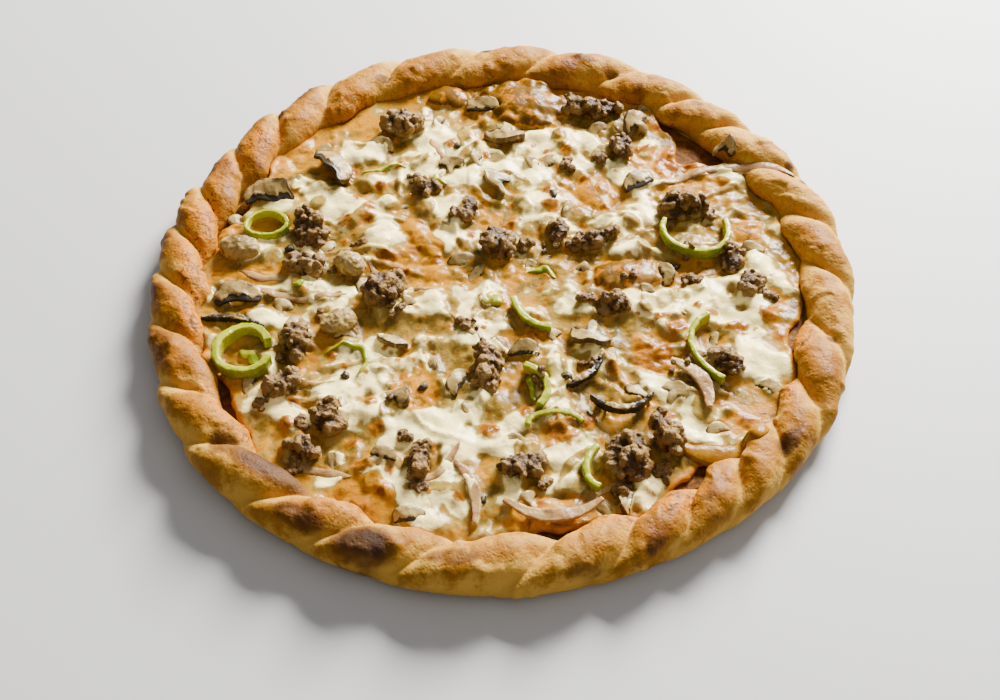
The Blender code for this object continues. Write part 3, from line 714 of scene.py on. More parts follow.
def paint(piece: bpy.types.Object, name: str, values: Array) -> None:
    """Stores one number for each of a piece's points, for its material to read."""
    layer = piece.data.attributes.new(name, "FLOAT", "POINT")
    layer.data.foreach_set("value", np.asarray(values, np.float32))


def add_grid(name: str, columns: int, rows: int) -> tuple[bpy.types.Object, Array, Array]:
    """Adds a flat grid to be shaped.

    Args:
        name: The new piece's name.
        columns: How many faces it has across.
        rows: How many faces it has along.

    Returns:
        The piece, and each point's place across and along, from 0 to 1.
    """
    deselect()
    bpy.ops.mesh.primitive_grid_add(x_subdivisions=columns, y_subdivisions=rows, size=2.0)
    piece = bpy.context.active_object
    piece.name = name
    flat = points_of(piece) * MM
    return piece, (flat[:, 0] + 1) / 2, (flat[:, 1] + 1) / 2


def copy_node(name: str, node: str) -> bpy.types.Object:
    """Copies a CAD node's mesh into a new piece, with its loose triangles merged."""
    piece = bpy.data.objects.new(name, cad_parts[node].data.copy())
    bpy.context.scene.collection.objects.link(piece)
    tidy_mesh(piece, 1e-5)
    return piece


def finish_piece(
    piece: bpy.types.Object, finish: bpy.types.Material, nodes: Sequence[str] = ()
) -> None:
    """Gives a piece its material, its smooth shading and its place on the frame.

    Args:
        piece: The piece.
        finish: Its material.
        nodes: The CAD nodes that it stands for.
    """
    piece.data.materials.clear()
    piece.data.materials.append(finish)
    piece.data.shade_smooth()
    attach(piece, "root")
    if nodes:
        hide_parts(*nodes)
    LOG.info("%s: %d faces", piece.name, len(piece.data.polygons))


def variety_of(number: Array) -> Array:
    """A share around 1 for each fold's number, so that no two folds are alike."""
    return 1 + 0.35 * np.sin(number * 2.4 + 1.0)


@dataclass
class Dough:
    """The flat base and the rope rim round it."""

    outer_radius: float = 162.0
    base_thickness: float = 4.5
    half_width: float = 10.6
    half_height: float = 8.3
    squareness: float = 0.86
    rim_inset: float = 1.2
    unevenness: float = 0.10
    foot_inset: float = 13.0
    ring_inset: float = 25.0
    tube_start: float = 204.0
    tube_sweep: float = 250.0
    slant: float = 14.0
    slant_pivot: float = 0.45
    lift: float = 3.9
    spread: float = 0.27
    ridge: tuple[float, float] = (0.30, 0.62)
    crease_depth: float = 2.5
    nose: float = 2.6
    crease_width: float = 0.095
    crease_spread: float = 0.17
    crease_middle: float = 0.42
    crease_reach: float = 0.34
    columns: int = 1120
    tube_rows: int = 60
    creases: tuple[float, ...] = (
        97, 82, 66, 52, 41, 27, 13, 0, -15, -29, -40, -50, -60, -71,
        -85, -102, -115, -127, -141, -154, -167, -178, -189, -199, -210, -222, -234, -248,
    )  # fmt: skip
    surface: BVHTree = field(init=False)

    def outline(self, angle: Array) -> Array:
        """The dough's outer radius at an angle in radians."""
        return (
            self.outer_radius
            + 1.0 * np.cos(2 * angle - 2.8)
            + 0.7 * np.cos(3 * angle + 0.6)
            + 0.5 * np.sin(7 * angle)
        )

    def folds(self, crest: Array) -> tuple[Array, Array]:
        """Finds which fold lies at each crest angle.

        Args:
            crest: Angles in degrees.

        Returns:
            The place in the fold from 0 to 1, and the fold's number.
        """
        starts = np.array([*self.creases, self.creases[0] - 360.0])
        wrapped = starts[0] - (starts[0] - crest) % 360.0
        number = np.clip(np.searchsorted(-starts, -wrapped, side="right") - 1, 0, len(self.creases) - 1)
        return (starts[number] - wrapped) / (starts[number] - starts[number + 1]), number

    def fold_lift(self, t: Array, s: Array, number: Array) -> tuple[Array, Array, Array]:
        """How far the folds stand out of the plain tube.

        Args:
            t: The place along the fold.
            s: The place over the tube, from its inner foot (0) to its outer foot (1).
            number: The fold's number.

        Returns:
            The lift, and how deep in a crease and how high on a ridge each point lies, from 0 to 1.
        """
        places = (Vector((1.7 * fold, 3.1, 0.4)) for fold in range(len(self.creases)))
        variety = np.array([0.85 + 0.3 * noise.noise(place) for place in places])
        along = np.sin(math.pi * np.clip(t, 0, 1)) ** 0.6 * (0.8 + 0.35 * t)
        ridge = self.ridge[0] + (self.ridge[1] - self.ridge[0]) * t
        across = np.exp(-(((s - ridge) / self.spread) ** 2))
        edge = np.minimum(t, 1 - t)
        reach = (s - self.crease_middle) / self.crease_reach
        crease = np.exp(-(np.abs(edge / self.crease_width) ** 1.4) - reach**2)
        pale = np.exp(-((edge / self.crease_spread) ** 1.5) - (reach / 1.25) ** 2)
        return self.lift * variety[number] * along * across - self.crease_depth * crease, pale, along * across

    def swell(self, crest: Array) -> Array:
        """How much higher or lower the rim is at each crest angle in degrees."""
        turns = np.radians(np.arange(361))
        places = (Vector((math.cos(turn), math.sin(turn), 2.3)) * 2.2 for turn in turns)
        return np.interp(crest % 360.0, np.arange(361), [noise.noise(place) for place in places])

    def rim(self, crest: Array, s: Array) -> tuple[Array, Array, Array]:
        """The rim's surface.

        Args:
            crest: Each point's crest angle in degrees.
            s: Its place over the tube.

        Returns:
            The points, and how deep in a crease and how high on a ridge each lies.
        """
        angle = np.radians(crest + self.slant * (self.slant_pivot - s))
        turn = np.radians(self.tube_start - self.tube_sweep * s)
        across, up = np.cos(turn), np.sin(turn)
        t, number = self.folds(crest)
        lift, crease, ridge = self.fold_lift(t, s, number)
        out = self.half_width * np.sign(across) * np.abs(across) ** self.squareness + lift * across
        nose = np.sin(math.pi * np.clip(t * 1.15, 0, 1)) ** 2 * np.exp(-(((s - 0.16) / 0.16) ** 2))
        out -= self.nose * nose * variety_of(number)
        height = self.half_height * (1 + self.unevenness * self.swell(crest))
        rise = height * np.sign(up) * np.abs(up) ** self.squareness + lift * up
        distance = self.outline(angle) - self.half_width - self.rim_inset + out
        z = np.maximum(1.2, height + rise)
        return np.stack([distance * np.cos(angle), distance * np.sin(angle), z], axis=1), crease, ridge

    def ring(self, crest: Array, s: float, share: Array, inset: float, height: float) -> Array:
        """Points of flat rings inside the outline. Share shrinks them towards the middle."""
        angle = np.radians(crest + self.slant * (self.slant_pivot - s))
        distance = (self.outline(angle) - inset) * share
        flat = np.full_like(angle, height)
        return np.stack([distance * np.cos(angle), distance * np.sin(angle), flat], axis=1)

    def shape(self) -> tuple[bpy.types.Object, Array, Array, Array, Array]:
        """Bends a grid round the pizza.

        Returns:
            The piece, its points, and each point's place over the tube (or -1 off it), crease and ridge.
        """
        under = [(share, self.foot_inset, 0.0) for share in (0.0, 0.5, 0.9, 1.0)] + [(1.0, 7.0, 0.5)]
        over = [(share, self.ring_inset, self.base_thickness) for share in (1.0, 0.8, 0.4, 0.0)]
        rows = len(under) + self.tube_rows + len(over)
        piece, across, along = add_grid("crust", self.columns, rows - 1)
        crest = -360.0 * across
        row = np.rint(along * (rows - 1)).astype(int)
        points = np.zeros((len(row), 3))
        crease, ridge = np.zeros(len(row)), np.zeros(len(row))
        s = np.full(len(row), -1.0)
        for number, (share, inset, height) in enumerate(under):
            here = row == number
            points[here] = self.ring(crest[here], 1.0, share, inset, height)
        for number, (share, inset, height) in enumerate(over, len(under) + self.tube_rows):
            here = row == number
            points[here] = self.ring(crest[here], 0.0, share, inset, height)
        tube = (row >= len(under)) & (row < len(under) + self.tube_rows)
        s[tube] = 1 - (row[tube] - len(under)) / (self.tube_rows - 1)
        points[tube], crease[tube], ridge[tube] = self.rim(crest[tube], s[tube])
        return piece, points, s, crease, ridge

    def roughen(self, points: Array, s: Array) -> Array:
        """Adds the dough's lumps and blisters, which fade out towards its underside."""
        fade = smooth((points[:, 2] - 2.0) / 8.0) * (s >= 0)
        x, y = points[:, 0] + 0.3 * points[:, 2], points[:, 1] + 0.2 * points[:, 2]
        lumps = 0.35 * PLAN.at(PLAN.noise(31, 16.0, 2), x, y) + 0.22 * PLAN.at(PLAN.noise(32, 6.0, 2), x, y)
        blisters = np.maximum(0.0, PLAN.at(PLAN.noise(33, 5.5, 1), x, y) - 1.2) * 1.1
        fine = 0.06 * PLAN.at(PLAN.noise(34, 2.0, 2), x, y)
        raised = (np.clip(lumps, -0.8, 0.5) + np.clip(blisters, 0, 0.9) + fine) * fade
        away = points.copy()
        centre = np.hypot(points[:, 0], points[:, 1])
        tube_radius = self.outline(np.arctan2(points[:, 1], points[:, 0])) - self.half_width - self.rim_inset
        outward = np.stack([(centre - tube_radius), points[:, 2] - self.half_height], axis=1)
        outward /= np.maximum(1e-6, np.linalg.norm(outward, axis=1))[:, None]
        shift = raised * outward[:, 0] / np.maximum(centre, 1e-6)
        away[:, 0] += points[:, 0] * shift
        away[:, 1] += points[:, 1] * shift
        away[:, 2] += raised * outward[:, 1]
        return away

    def dress(self, piece: bpy.types.Object, points: Array, s: Array, crease: Array, ridge: Array) -> None:
        """Paints where the dough is toasted, scorched and oily, with painted shade on the left and front
        right and painted light on the right.
        """
        x, y, z = points.T
        cloud = PLAN.at(PLAN.noise(41, 22.0, 3), x, y)
        side = PLAN.at(PLAN.noise(42, 9.0, 3), x, y)
        height = smooth((z - 6.0) / 12.0)
        toast = 0.10 + 0.12 * height + 0.42 * ridge * height + 0.15 * cloud + 0.10 * side - 0.40 * crease
        toast -= 0.12 * smooth((s - 0.70) / 0.25)
        # Painted shade and painted light: browner on the left and towards the front right, paler on the
        # right, as the light falls from the back right.
        toast += 0.20 * smooth((-x - 90) / 50) - 0.26 * smooth((x - 60) / 60) * smooth((y + 60) / 50)
        toast += 0.22 * smooth((-y - 60) / 50) * smooth((x - 10) / 60)
        scorch = np.zeros_like(x)
        for spot in SCORCHES:
            mark = spot.amount * smooth(1.5 - PLAN.at(PLAN.away(spot), x, y) * 0.9)
            scorch = np.maximum(scorch, mark * smooth((z - 3.0) / 3.0))
        oil = np.zeros_like(x)
        inner = smooth((0.62 - s) / 0.18) * (s >= 0)
        for spot in BAKED_ON:
            oil = np.maximum(oil, spot.amount * smooth(1.6 - PLAN.at(PLAN.away(spot), x, y)))
        oil = np.maximum(oil, 0.35) * inner
        paint(piece, "toast", toast)
        paint(piece, "scorch", scorch)
        paint(piece, "oil", oil)

    def build(self) -> None:
        """Makes the crust, and keeps its surface for what leans on it."""
        piece, points, s, crease, ridge = self.shape()
        points = self.roughen(points, s)
        move_points(piece, points)
        self.dress(piece, points, s, crease, ridge)
        tidy_mesh(piece)
        finish_piece(piece, DoughFinish().material(), ["dough"])
        self.surface = tree_of(piece)


def tree_of(piece: bpy.types.Object) -> BVHTree:
    """A search tree over a piece's surface, in millimetres."""
    points = [Vector(point) for point in points_of(piece)]
    return BVHTree.FromPolygons(points, [tuple(face.vertices) for face in piece.data.polygons])


def join(pieces: Sequence[bpy.types.Object]) -> bpy.types.Object:
    """Joins pieces into the first of them."""
    select_only(pieces[0])
    for piece in pieces:
        piece.select_set(True)
    bpy.ops.object.join()
    return pieces[0]


def ball_template() -> tuple[Array, Array]:
    """A coarse ball of radius 1: its points and its faces."""
    deselect()
    bpy.ops.mesh.primitive_ico_sphere_add(subdivisions=2, radius=MM)
    ball = bpy.context.active_object
    points = points_of(ball)
    faces = np.array([face.vertices[:] for face in ball.data.polygons])
    bpy.data.objects.remove(ball)
    return points, faces


def tile_faces(faces: Array, size: int, count: int) -> Array:
    """The faces of many copies of a mesh whose points follow one another."""
    return (faces[None] + size * np.arange(count)[:, None, None]).reshape(-1, faces.shape[1])


def mesh_from(name: str, points: Array, faces: Array) -> bpy.types.Object:
    """Makes an object from points in millimetres and faces."""
    mesh = bpy.data.meshes.new(name)
    mesh.from_pydata((points * MM).tolist(), [], faces.tolist())
    piece = bpy.data.objects.new(name, mesh)
    bpy.context.scene.collection.objects.link(piece)
    return piece


class Landscape:
    """How high the toppings stand, seen from above, as each is added."""

    def __init__(self) -> None:
        """Starts with no toppings."""
        self.top = np.full_like(PLAN.x, -1.0)
        self.under = np.full_like(PLAN.x, ABOVE)
        self.coverable = np.zeros_like(PLAN.x)

    def add(self, piece: bpy.types.Object, coverable: float) -> None:
        """Marks the cells that a topping fills.

        Args:
            piece: The topping.
            coverable: How readily cheese runs over it, from 0 to 1.
        """
        tree = tree_of(piece)
        points = points_of(piece)
        low, high = points.min(axis=0), points.max(axis=0)
        first = ((low[:2] + PLAN.half) / PLAN.cell).astype(int)
        last = ((high[:2] + PLAN.half) / PLAN.cell).astype(int) + 1
        for row in range(first[1], last[1] + 1):
            for column in range(first[0], last[0] + 1):
                x, y = PLAN.x[row, column], PLAN.y[row, column]
                hit = tree.ray_cast(Vector((x, y, ABOVE)), DOWN)[0]
                if hit is None:
                    continue
                below = tree.ray_cast(Vector((x, y, BELOW)), -DOWN)[0]
                if hit.z > self.top[row, column]:
                    self.top[row, column] = hit.z
                    self.coverable[row, column] = coverable
                if below is not None:
                    self.under[row, column] = min(self.under[row, column], below.z)


CRAGS = ((3.0, 2.0), (1.1, 0.8))  # the size and depth of the coarse and the fine crags of mince
CRAG_DETAIL = 3


def roughen_grains(piece: bpy.types.Object) -> None:
    """Gives grains of mince the crags of torn meat."""
    for size, depth in CRAGS:
        displace(piece, size, depth, CRAG_DETAIL)


@dataclass
class Meat:
    """Crumbs of browned minced meat, each a cluster of grains round the form of its solid."""

    landscape: Landscape
    nodes: Sequence[str]
    core_voxel: float = 1.1
    voxel: float = 0.5
    sink: float = 1.0
    grain: tuple[float, float] = (1.0, 2.7)
    area_per_grain: float = 8.5

    def grains(self, core: bpy.types.Object, seed: int) -> bpy.types.Object:
        """Sets grains all over a core.

        Args:
            core: The lump that they lie on.
            seed: Picks their places and sizes.

        Returns:
            The core and its grains in one mesh.
        """
        draw = np.random.default_rng(seed)
        points, normals = points_of(core), normals_of(core)
        area = sum(face.area for face in core.data.polygons) / MM**2
        count = int(area / self.area_per_grain)
        chosen = draw.integers(0, len(points), count)
        x, y, z = points[chosen].T
        patch = PLAN.at(PLAN.noise(90 + seed % 5, 5.0, 1), x, y + z)
        sizes = draw.uniform(*self.grain, count) * (1 + 0.12 * patch)
        centres = points[chosen] + normals[chosen] * (draw.uniform(-0.9, 0.35, count) + 0.3 * patch)[:, None]
        centres[:, 2] = np.maximum(centres[:, 2], points[:, 2].min() + 0.6 * sizes)
        ball, faces = ball_template()
        stretch = draw.uniform(0.55, 1.45, (count, 1, 3))
        scattered = ball[None] * stretch * sizes[:, None, None] + centres[:, None]
        return mesh_from(f"{core.name}_grains", scattered.reshape(-1, 3), tile_faces(faces, len(ball), count))

    def crumble(self, piece: bpy.types.Object, seed: int) -> bpy.types.Object:
        """Breaks a smooth lump up into grains of mince, and paints which stand out, for painted light on them
        and painted shade between them.
        """
        remesh(piece, self.core_voxel, 3)
        points = points_of(piece) - normals_of(piece) * self.sink
        points[:, 2] -= min(0.0, points[:, 2].min())
        move_points(piece, points)
        core = tree_of(piece)
        grown = self.grains(piece, seed)
        join([piece, grown])
        remesh(piece, self.voxel, 2)
        roughen_grains(piece)
        raised = []
        for point in points_of(piece):
            nearest, normal, _, distance = core.find_nearest(Vector(point))
            raised.append(math.copysign(distance, (Vector(point) - nearest).dot(normal)))
        # How far each point stands out of the core, which the material turns into painted light and painted
        # shade.
        paint(piece, "ridge", smooth((np.array(raised) + 0.3) / 2.6))
        return piece

    def build(self) -> None:
        """Makes each crumb from its solid."""
        finish = MeatFinish().material()
        for number, node in enumerate(self.nodes):
            piece = self.crumble(copy_node(f"{node}_mince", node), number)
            finish_piece(piece, finish, [node])
            self.landscape.add(piece, 0.2)


@dataclass(frozen=True)
class SliceCut:
    """How one mushroom slice was cut and how it lies. One with no node lies in the cheese."""

    node: str
    x: float
    y: float
    width: float
    turn: float
    shape: Shape
    lean: float
    curl: float


SLICES = (
    SliceCut("mushroom_01", 3, 98, 21, 180, Shape.WHOLE, 14, 0.9),
    SliceCut("mushroom_02", -112, 53, 25, 4, Shape.CAP, 22, 0.6),
    SliceCut("mushroom_03", -83, 72, 25, -52, Shape.CAP, -24, 0.7),
    SliceCut("mushroom_04", 10, -44, 15, 0, Shape.CAP, 26, 0.5),
    SliceCut("mushroom_05", -18, -61, 15, 70, Shape.CAP, 18, 0.8),
    SliceCut("mushroom_06", -9, 117, 18, 0, Shape.CAP, 20, 0.6),
    SliceCut("mushroom_07", -3, 60, 22, 40, Shape.HALF, 10, 0.8),
    SliceCut("mushroom_08", 69, 103, 17, 50, Shape.WHOLE, 32, 0.9),
    SliceCut("mushroom_09", 68, 61, 18, 30, Shape.CAP, 14, 0.8),
    SliceCut("mushroom_10", 109, 83, 17, -53, Shape.HALF, 36, 0.6),
    SliceCut("mushroom_11", -120, -11, 22, 5, Shape.CAP, 14, 0.6),
    SliceCut("mushroom_12", -48, -35, 15, 160, Shape.CAP, 20, 0.7),
    SliceCut("mushroom_13", 39, -34, 19, 160, Shape.WHOLE, 12, 0.9),
    SliceCut("mushroom_14", 51, -122, 12, 75, Shape.CAP, 20, 0.7),
    SliceCut("mushroom_15", -46, -66, 17, -70, Shape.HALF, 14, 0.7),
)


# Slices that the solids leave to this script, as x, y, width, turn, cut and lean
SMALL_SLICES = (
    (74, 3, 15, -80, "C", 24), (36, 8, 12, -40, "H", 20), (-18, 12, 15, 5, "C", 30),
    (50, 100, 14, 30, "C", 30), (-60, 90, 15, -20, "C", 24), (-12, 76, 13, 60, "H", 20),
    (-88, 88, 11, 30, "C", 26), (39, -125, 11, -40, "C", 24), (-38, -129, 14, 12, "C", 20),
    (93, -66, 13, 70, "H", 20), (-15, -76, 12, 40, "H", 14), (-33, -48, 13, -70, "C", 20),
    (-50, -101, 12, -20, "W", 16), (91, -86, 12, 20, "C", 18), (75, 117, 10, 20, "C", 20),
    (-24, 75, 14, -10, "W", 18), (25, 78, 14, 25, "C", 20), (-4, 82, 15, -70, "W", 10),
    (14, 74, 13, 30, "H", 24), (96, -36, 11, 60, "C", 20), (114, -64, 14, -40, "C", 16),
    (117, 16, 12, -10, "C", 20), (59, -63, 13, 150, "W", 14), (-70, -33, 11, 0, "C", 20),
    (-72, -100, 15, 10, "H", 14), (-100, 62, 14, 30, "C", 14), (-30, 106, 12, 70, "C", 30),
    (86, 70, 12, -30, "H", 20), (60, 100, 13, 60, "H", 30), (-62, -2, 13, 70, "C", 26),
    (-44, -16, 13, 20, "H", 22), (-80, 22, 12, 50, "C", 18), (-102, -16, 15, 10, "H", 14),
    (-92, -26, 12, 80, "C", 20), (-66, -70, 12, 120, "C", 18), (-22, -104, 11, 80, "H", 16),
    (4, -92, 11, 0, "C", 12), (-2, -40, 12, -30, "C", 18), (22, -34, 13, 30, "H", 20),
    (50, -45, 13, 100, "C", 20), (74, -66, 15, -30, "W", 12), (84, -48, 12, 60, "C", 14),
    (64, -10, 12, 10, "H", 16), (34, 44, 12, 60, "C", 22), (12, 10, 12, 0, "H", 18),
    (-10, 4, 13, 40, "C", 22), (-46, 48, 12, 30, "C", 16), (-24, 34, 11, 80, "H", 16),
    (52, 76, 12, -30, "C", 18), (100, 36, 11, 20, "C", 20), (10, -122, 12, 60, "H", 12),
    (66, -106, 12, 40, "C", 20), (-108, -60, 12, 80, "C", 20), (-126, 38, 13, 80, "H", 12),
    (80, -20, 11, 60, "H", 12),
)  # fmt: skip


@dataclass
class Mushrooms:
    """Mushroom slices and the rounded outsides of caps."""

    landscape: Landscape
    ground: Array
    slices: Sequence[SliceCut] = SLICES
    buttons: Sequence[str] = ("button_01", "button_02", "button_03")
    strips: Sequence[str] = ("gill_strip_01", "gill_strip_02", "gill_strip_03")
    thickness: float = 3.0
    voxel: float = 0.42
    sink: float = 2.1
    small_voxel: float = 0.6
    small_thickness: float = 0.7
    small_curl: float = 0.7
    gill_dent: float = 0.35
    ripple: float = 0.35
    waviness: float = 0.028

    def outline(self, shape: Shape) -> list[tuple[float, float]]:
        """The profile of a slice one unit wide, as a closed run of points with rounded corners."""
        cap = [(0.5 * math.cos(turn), 0.40 * math.sin(turn)) for turn in np.linspace(0, math.pi, 17)]
        lip = [(0.45, -0.11), (0.30, -0.08)]
        stem = [(0.13, -0.07), (0.11, -0.36), (0.0, -0.42), (-0.11, -0.36), (-0.13, -0.07)]
        left = [(-x, y) for x, y in lip]
        if shape is Shape.CAP:
            points = cap + left + [(0.0, -0.09)] + lip[::-1]
        elif shape is Shape.WHOLE:
            points = cap + left + stem[::-1] + lip[::-1]
        else:
            cut = [(-0.05, 0.18), (-0.07, -0.05), (-0.02, -0.42)]
            points = cap[:9] + cut + stem[1::-1] + lip[::-1]
        for _ in range(2):
            pairs = list(zip(points, points[1:] + points[:1]))
            points = [
                (a[0] + (b[0] - a[0]) * share, a[1] + (b[1] - a[1]) * share)
                for a, b in pairs
                for share in (0.25, 0.75)
            ]
        return points

    def plate(self, name: str, cut: SliceCut, voxel: float) -> bpy.types.Object:
        """Cuts a flat slice with rounded edges."""
        corners = np.array(self.outline(cut.shape)) * cut.width
        deselect()
        bpy.ops.mesh.primitive_circle_add(vertices=len(corners), fill_type="NGON")
        piece = bpy.context.active_object
        piece.name = name
        thickness = self.thickness * (0.75 + 0.012 * cut.width) * (1.0 if cut.node else self.small_thickness)
        move_points(piece, np.column_stack([corners, np.full(len(corners), -thickness / 2)]))
        bpy.ops.object.mode_set(mode="EDIT")
        bpy.ops.mesh.select_all(action="SELECT")
        bpy.ops.mesh.extrude_region_move(TRANSFORM_OT_translate={"value": (0, 0, thickness * MM)})
        bpy.ops.mesh.select_all(action="SELECT")
        bpy.ops.mesh.normals_make_consistent(inside=False)
        bpy.ops.object.mode_set(mode="OBJECT")
        remesh(piece, voxel, 6)
        return piece

    def dress_slice(self, piece: bpy.types.Object, cut: SliceCut, seed: int) -> Array:
        """Paints the gills and the skin, from the slice's own flat shape. Returns the gill map."""
        x, y, z = (points_of(piece) / cut.width).T
        ragged = 0.05 * np.sin(21 * x + seed) + 0.03 * np.sin(47 * x + 2 * seed)
        radius = np.hypot(x / 0.5, y / 0.40)
        skin = smooth((radius - 0.86 - ragged) / 0.12) * (y > -0.05)
        stem = np.abs(x) < 0.12
        arch = 0.045 - 0.25 * x**2 + 0.5 * ragged
        gill = smooth((arch - y) / 0.05) * ~(stem & (cut.shape is not Shape.CAP))
        paint(piece, "skin", skin)
        paint(piece, "gill", gill * (1.0 if cut.node else 0.7 + 0.3 * math.sin(1.7 * seed)))
        return gill

    def lay_slice(self, piece: bpy.types.Object, cut: SliceCut, gill: Array, seed: int, low: float) -> None:
        """Curls, leans and turns a flat slice, and lowers it until its lowest point is at a height."""
        x, y, z = points_of(piece).T
        twist = random.Random(seed).uniform(-0.5, 0.5)
        z = z * (1 - self.gill_dent * gill)
        z = z - cut.curl * (x / cut.width) ** 2 * cut.width * 0.5 + twist * x * y / cut.width * 2
        z += self.ripple * np.sin(x * 0.55 + seed) * np.sin(y * 0.6 + 2 * seed)
        wide = self.waviness * cut.width
        x, y = (
            x + wide * (np.sin(0.52 * y + 1.3 * seed) + 0.6 * np.sin(1.15 * x + 2.1 * seed)),
            y + wide * (np.sin(0.47 * x + 1.9 * seed) + 0.6 * np.sin(1.05 * y + 0.7 * seed)),
        )
        y, z = turned(y, z, cut.lean)
        x, y = turned(x, y, cut.turn)
        z += low - z.min()
        move_points(piece, np.stack([x + cut.x, y + cut.y, z], axis=1))

    def build_slices(self, finish: bpy.types.Material) -> None:
        """Makes the slices that have a node of their own."""
        for seed, cut in enumerate(self.slices, 1):
            piece = self.plate(f"{cut.node}_slice", cut, self.voxel)
            gill = self.dress_slice(piece, cut, seed)
            self.lay_slice(piece, cut, gill, seed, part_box(cut.node)[0][2] / MM)
            finish_piece(piece, finish, [cut.node])
            self.landscape.add(piece, 0.8)

    def build_small_slices(self, finish: bpy.types.Material) -> None:
        """Makes the small slices that lie half sunk in the cheese, all in one piece."""
        made = []
        for seed, (x, y, width, turn, letter, lean) in enumerate(SMALL_SLICES, 100):
            cut = SliceCut("", x, y, width, turn, Shape(letter), lean, self.small_curl)
            piece = self.plate(f"small_slice_{seed}", cut, self.small_voxel)
            gill = self.dress_slice(piece, cut, seed)
            self.lay_slice(piece, cut, gill, seed, PLAN.read(self.ground, x, y) - self.sink)
            self.landscape.add(piece, 1.3)
            made.append(piece)
        piece = join(made)
        piece.name = "small_mushroom_slices"
        finish_piece(piece, finish)

    def wrinkle(self, piece: bpy.types.Object, voxel: float, rounds: int, size: float, depth: float) -> Array:
        """Rounds a copy of a solid off and wrinkles it. Returns its points."""
        remesh(piece, voxel, rounds)
        displace(piece, size, depth)
        return points_of(piece)

    def build_buttons(self, finish: bpy.types.Material) -> None:
        """Makes the rounded cap outsides, wrinkled by the oven."""
        for node in self.buttons:
            piece = copy_node(f"{node}_cap", node)
            x, y, z = self.wrinkle(piece, 0.5, 10, 2.6, 1.5).T
            cloud = PLAN.at(PLAN.noise(61, 5.0, 3), x + z, y + z)
            paint(piece, "skin", 0.22 + 0.2 * cloud)
            paint(piece, "gill", smooth((z.min() + 1.2 - z) / 1.2) * 0.8)
            finish_piece(piece, finish, [node])
            self.landscape.add(piece, 0.5)

    def build_strips(self, finish: bpy.types.Material) -> None:
        """Makes the slices that lie on edge and show little but their dark gills."""
        for node in self.strips:
            piece = copy_node(f"{node}_edge", node)
            x, y, z = self.wrinkle(piece, 0.42, 5, 2.2, 1.2).T
            paint(piece, "skin", 0.5 + 0.2 * PLAN.at(PLAN.noise(62, 4.0, 2), x, y))
            paint(piece, "gill", 1.1 - smooth((z - z.max() + 1.1) / 0.6) * 0.9)
            finish_piece(piece, finish, [node])
            self.landscape.add(piece, 0.7)

    def build(self) -> None:
        """Makes every piece of mushroom."""
        finish = MushroomFinish().material()
        self.build_slices(finish)
        self.build_buttons(finish)
        self.build_strips(finish)
        self.build_small_slices(finish)


@dataclass
class Peppers:
    """Rings and part rings of green pepper. Each centre is that of the whole ring."""

    landscape: Landscape
    voxel: float = 0.45
    rounds: int = 8
    fold_size: float = 7.0
    fold_depth: float = 1.0
    centres: tuple[tuple[float, float], ...] = (
        (-111, 34), (-113, -44), (92, 28), (103, -43), (22, -85), (7, -66), (28, -5), (42, -106),
    )  # fmt: skip

    def build(self) -> None:
        """Rounds and smooths each CAD ring, and paints its skin side."""
        finish = PepperFinish().material()
        for number, (x0, y0) in enumerate(self.centres, 1):
            node = f"pepper_{number:02d}"
            piece = copy_node(f"{node}_ring", node)
            remesh(piece, self.voxel, self.rounds)
            displace(piece, self.fold_size, self.fold_depth)
            x, y, z = points_of(piece).T
            away = np.hypot(x - x0, y - y0) + 1e-6
            normals = normals_of(piece)
            outward = (normals[:, 0] * (x - x0) + normals[:, 1] * (y - y0)) / away
            paint(piece, "skin", smooth(0.5 + 0.8 * outward))
            finish_piece(piece, finish, [node])
            self.landscape.add(piece, 0.6)


@dataclass
class Onions:
    """Strips of soft onion."""

    landscape: Landscape
    voxel: float = 0.42
    rounds: int = 6
    wave_size: float = 6.0
    wave_depth: float = 1.0
    nodes: Sequence[str] = ("onion_01", "onion_02", "onion_03")

    def build(self) -> None:
        """Smooths each CAD strip and gives it the fine ribs of an onion layer."""
        finish = ONION_FINISH.material()
        for node in self.nodes:
            piece = copy_node(f"{node}_strip", node)
            remesh(piece, self.voxel, self.rounds)
            displace(piece, self.wave_size, self.wave_depth)
            finish_piece(piece, finish, [node])
            self.landscape.add(piece, 1.0)


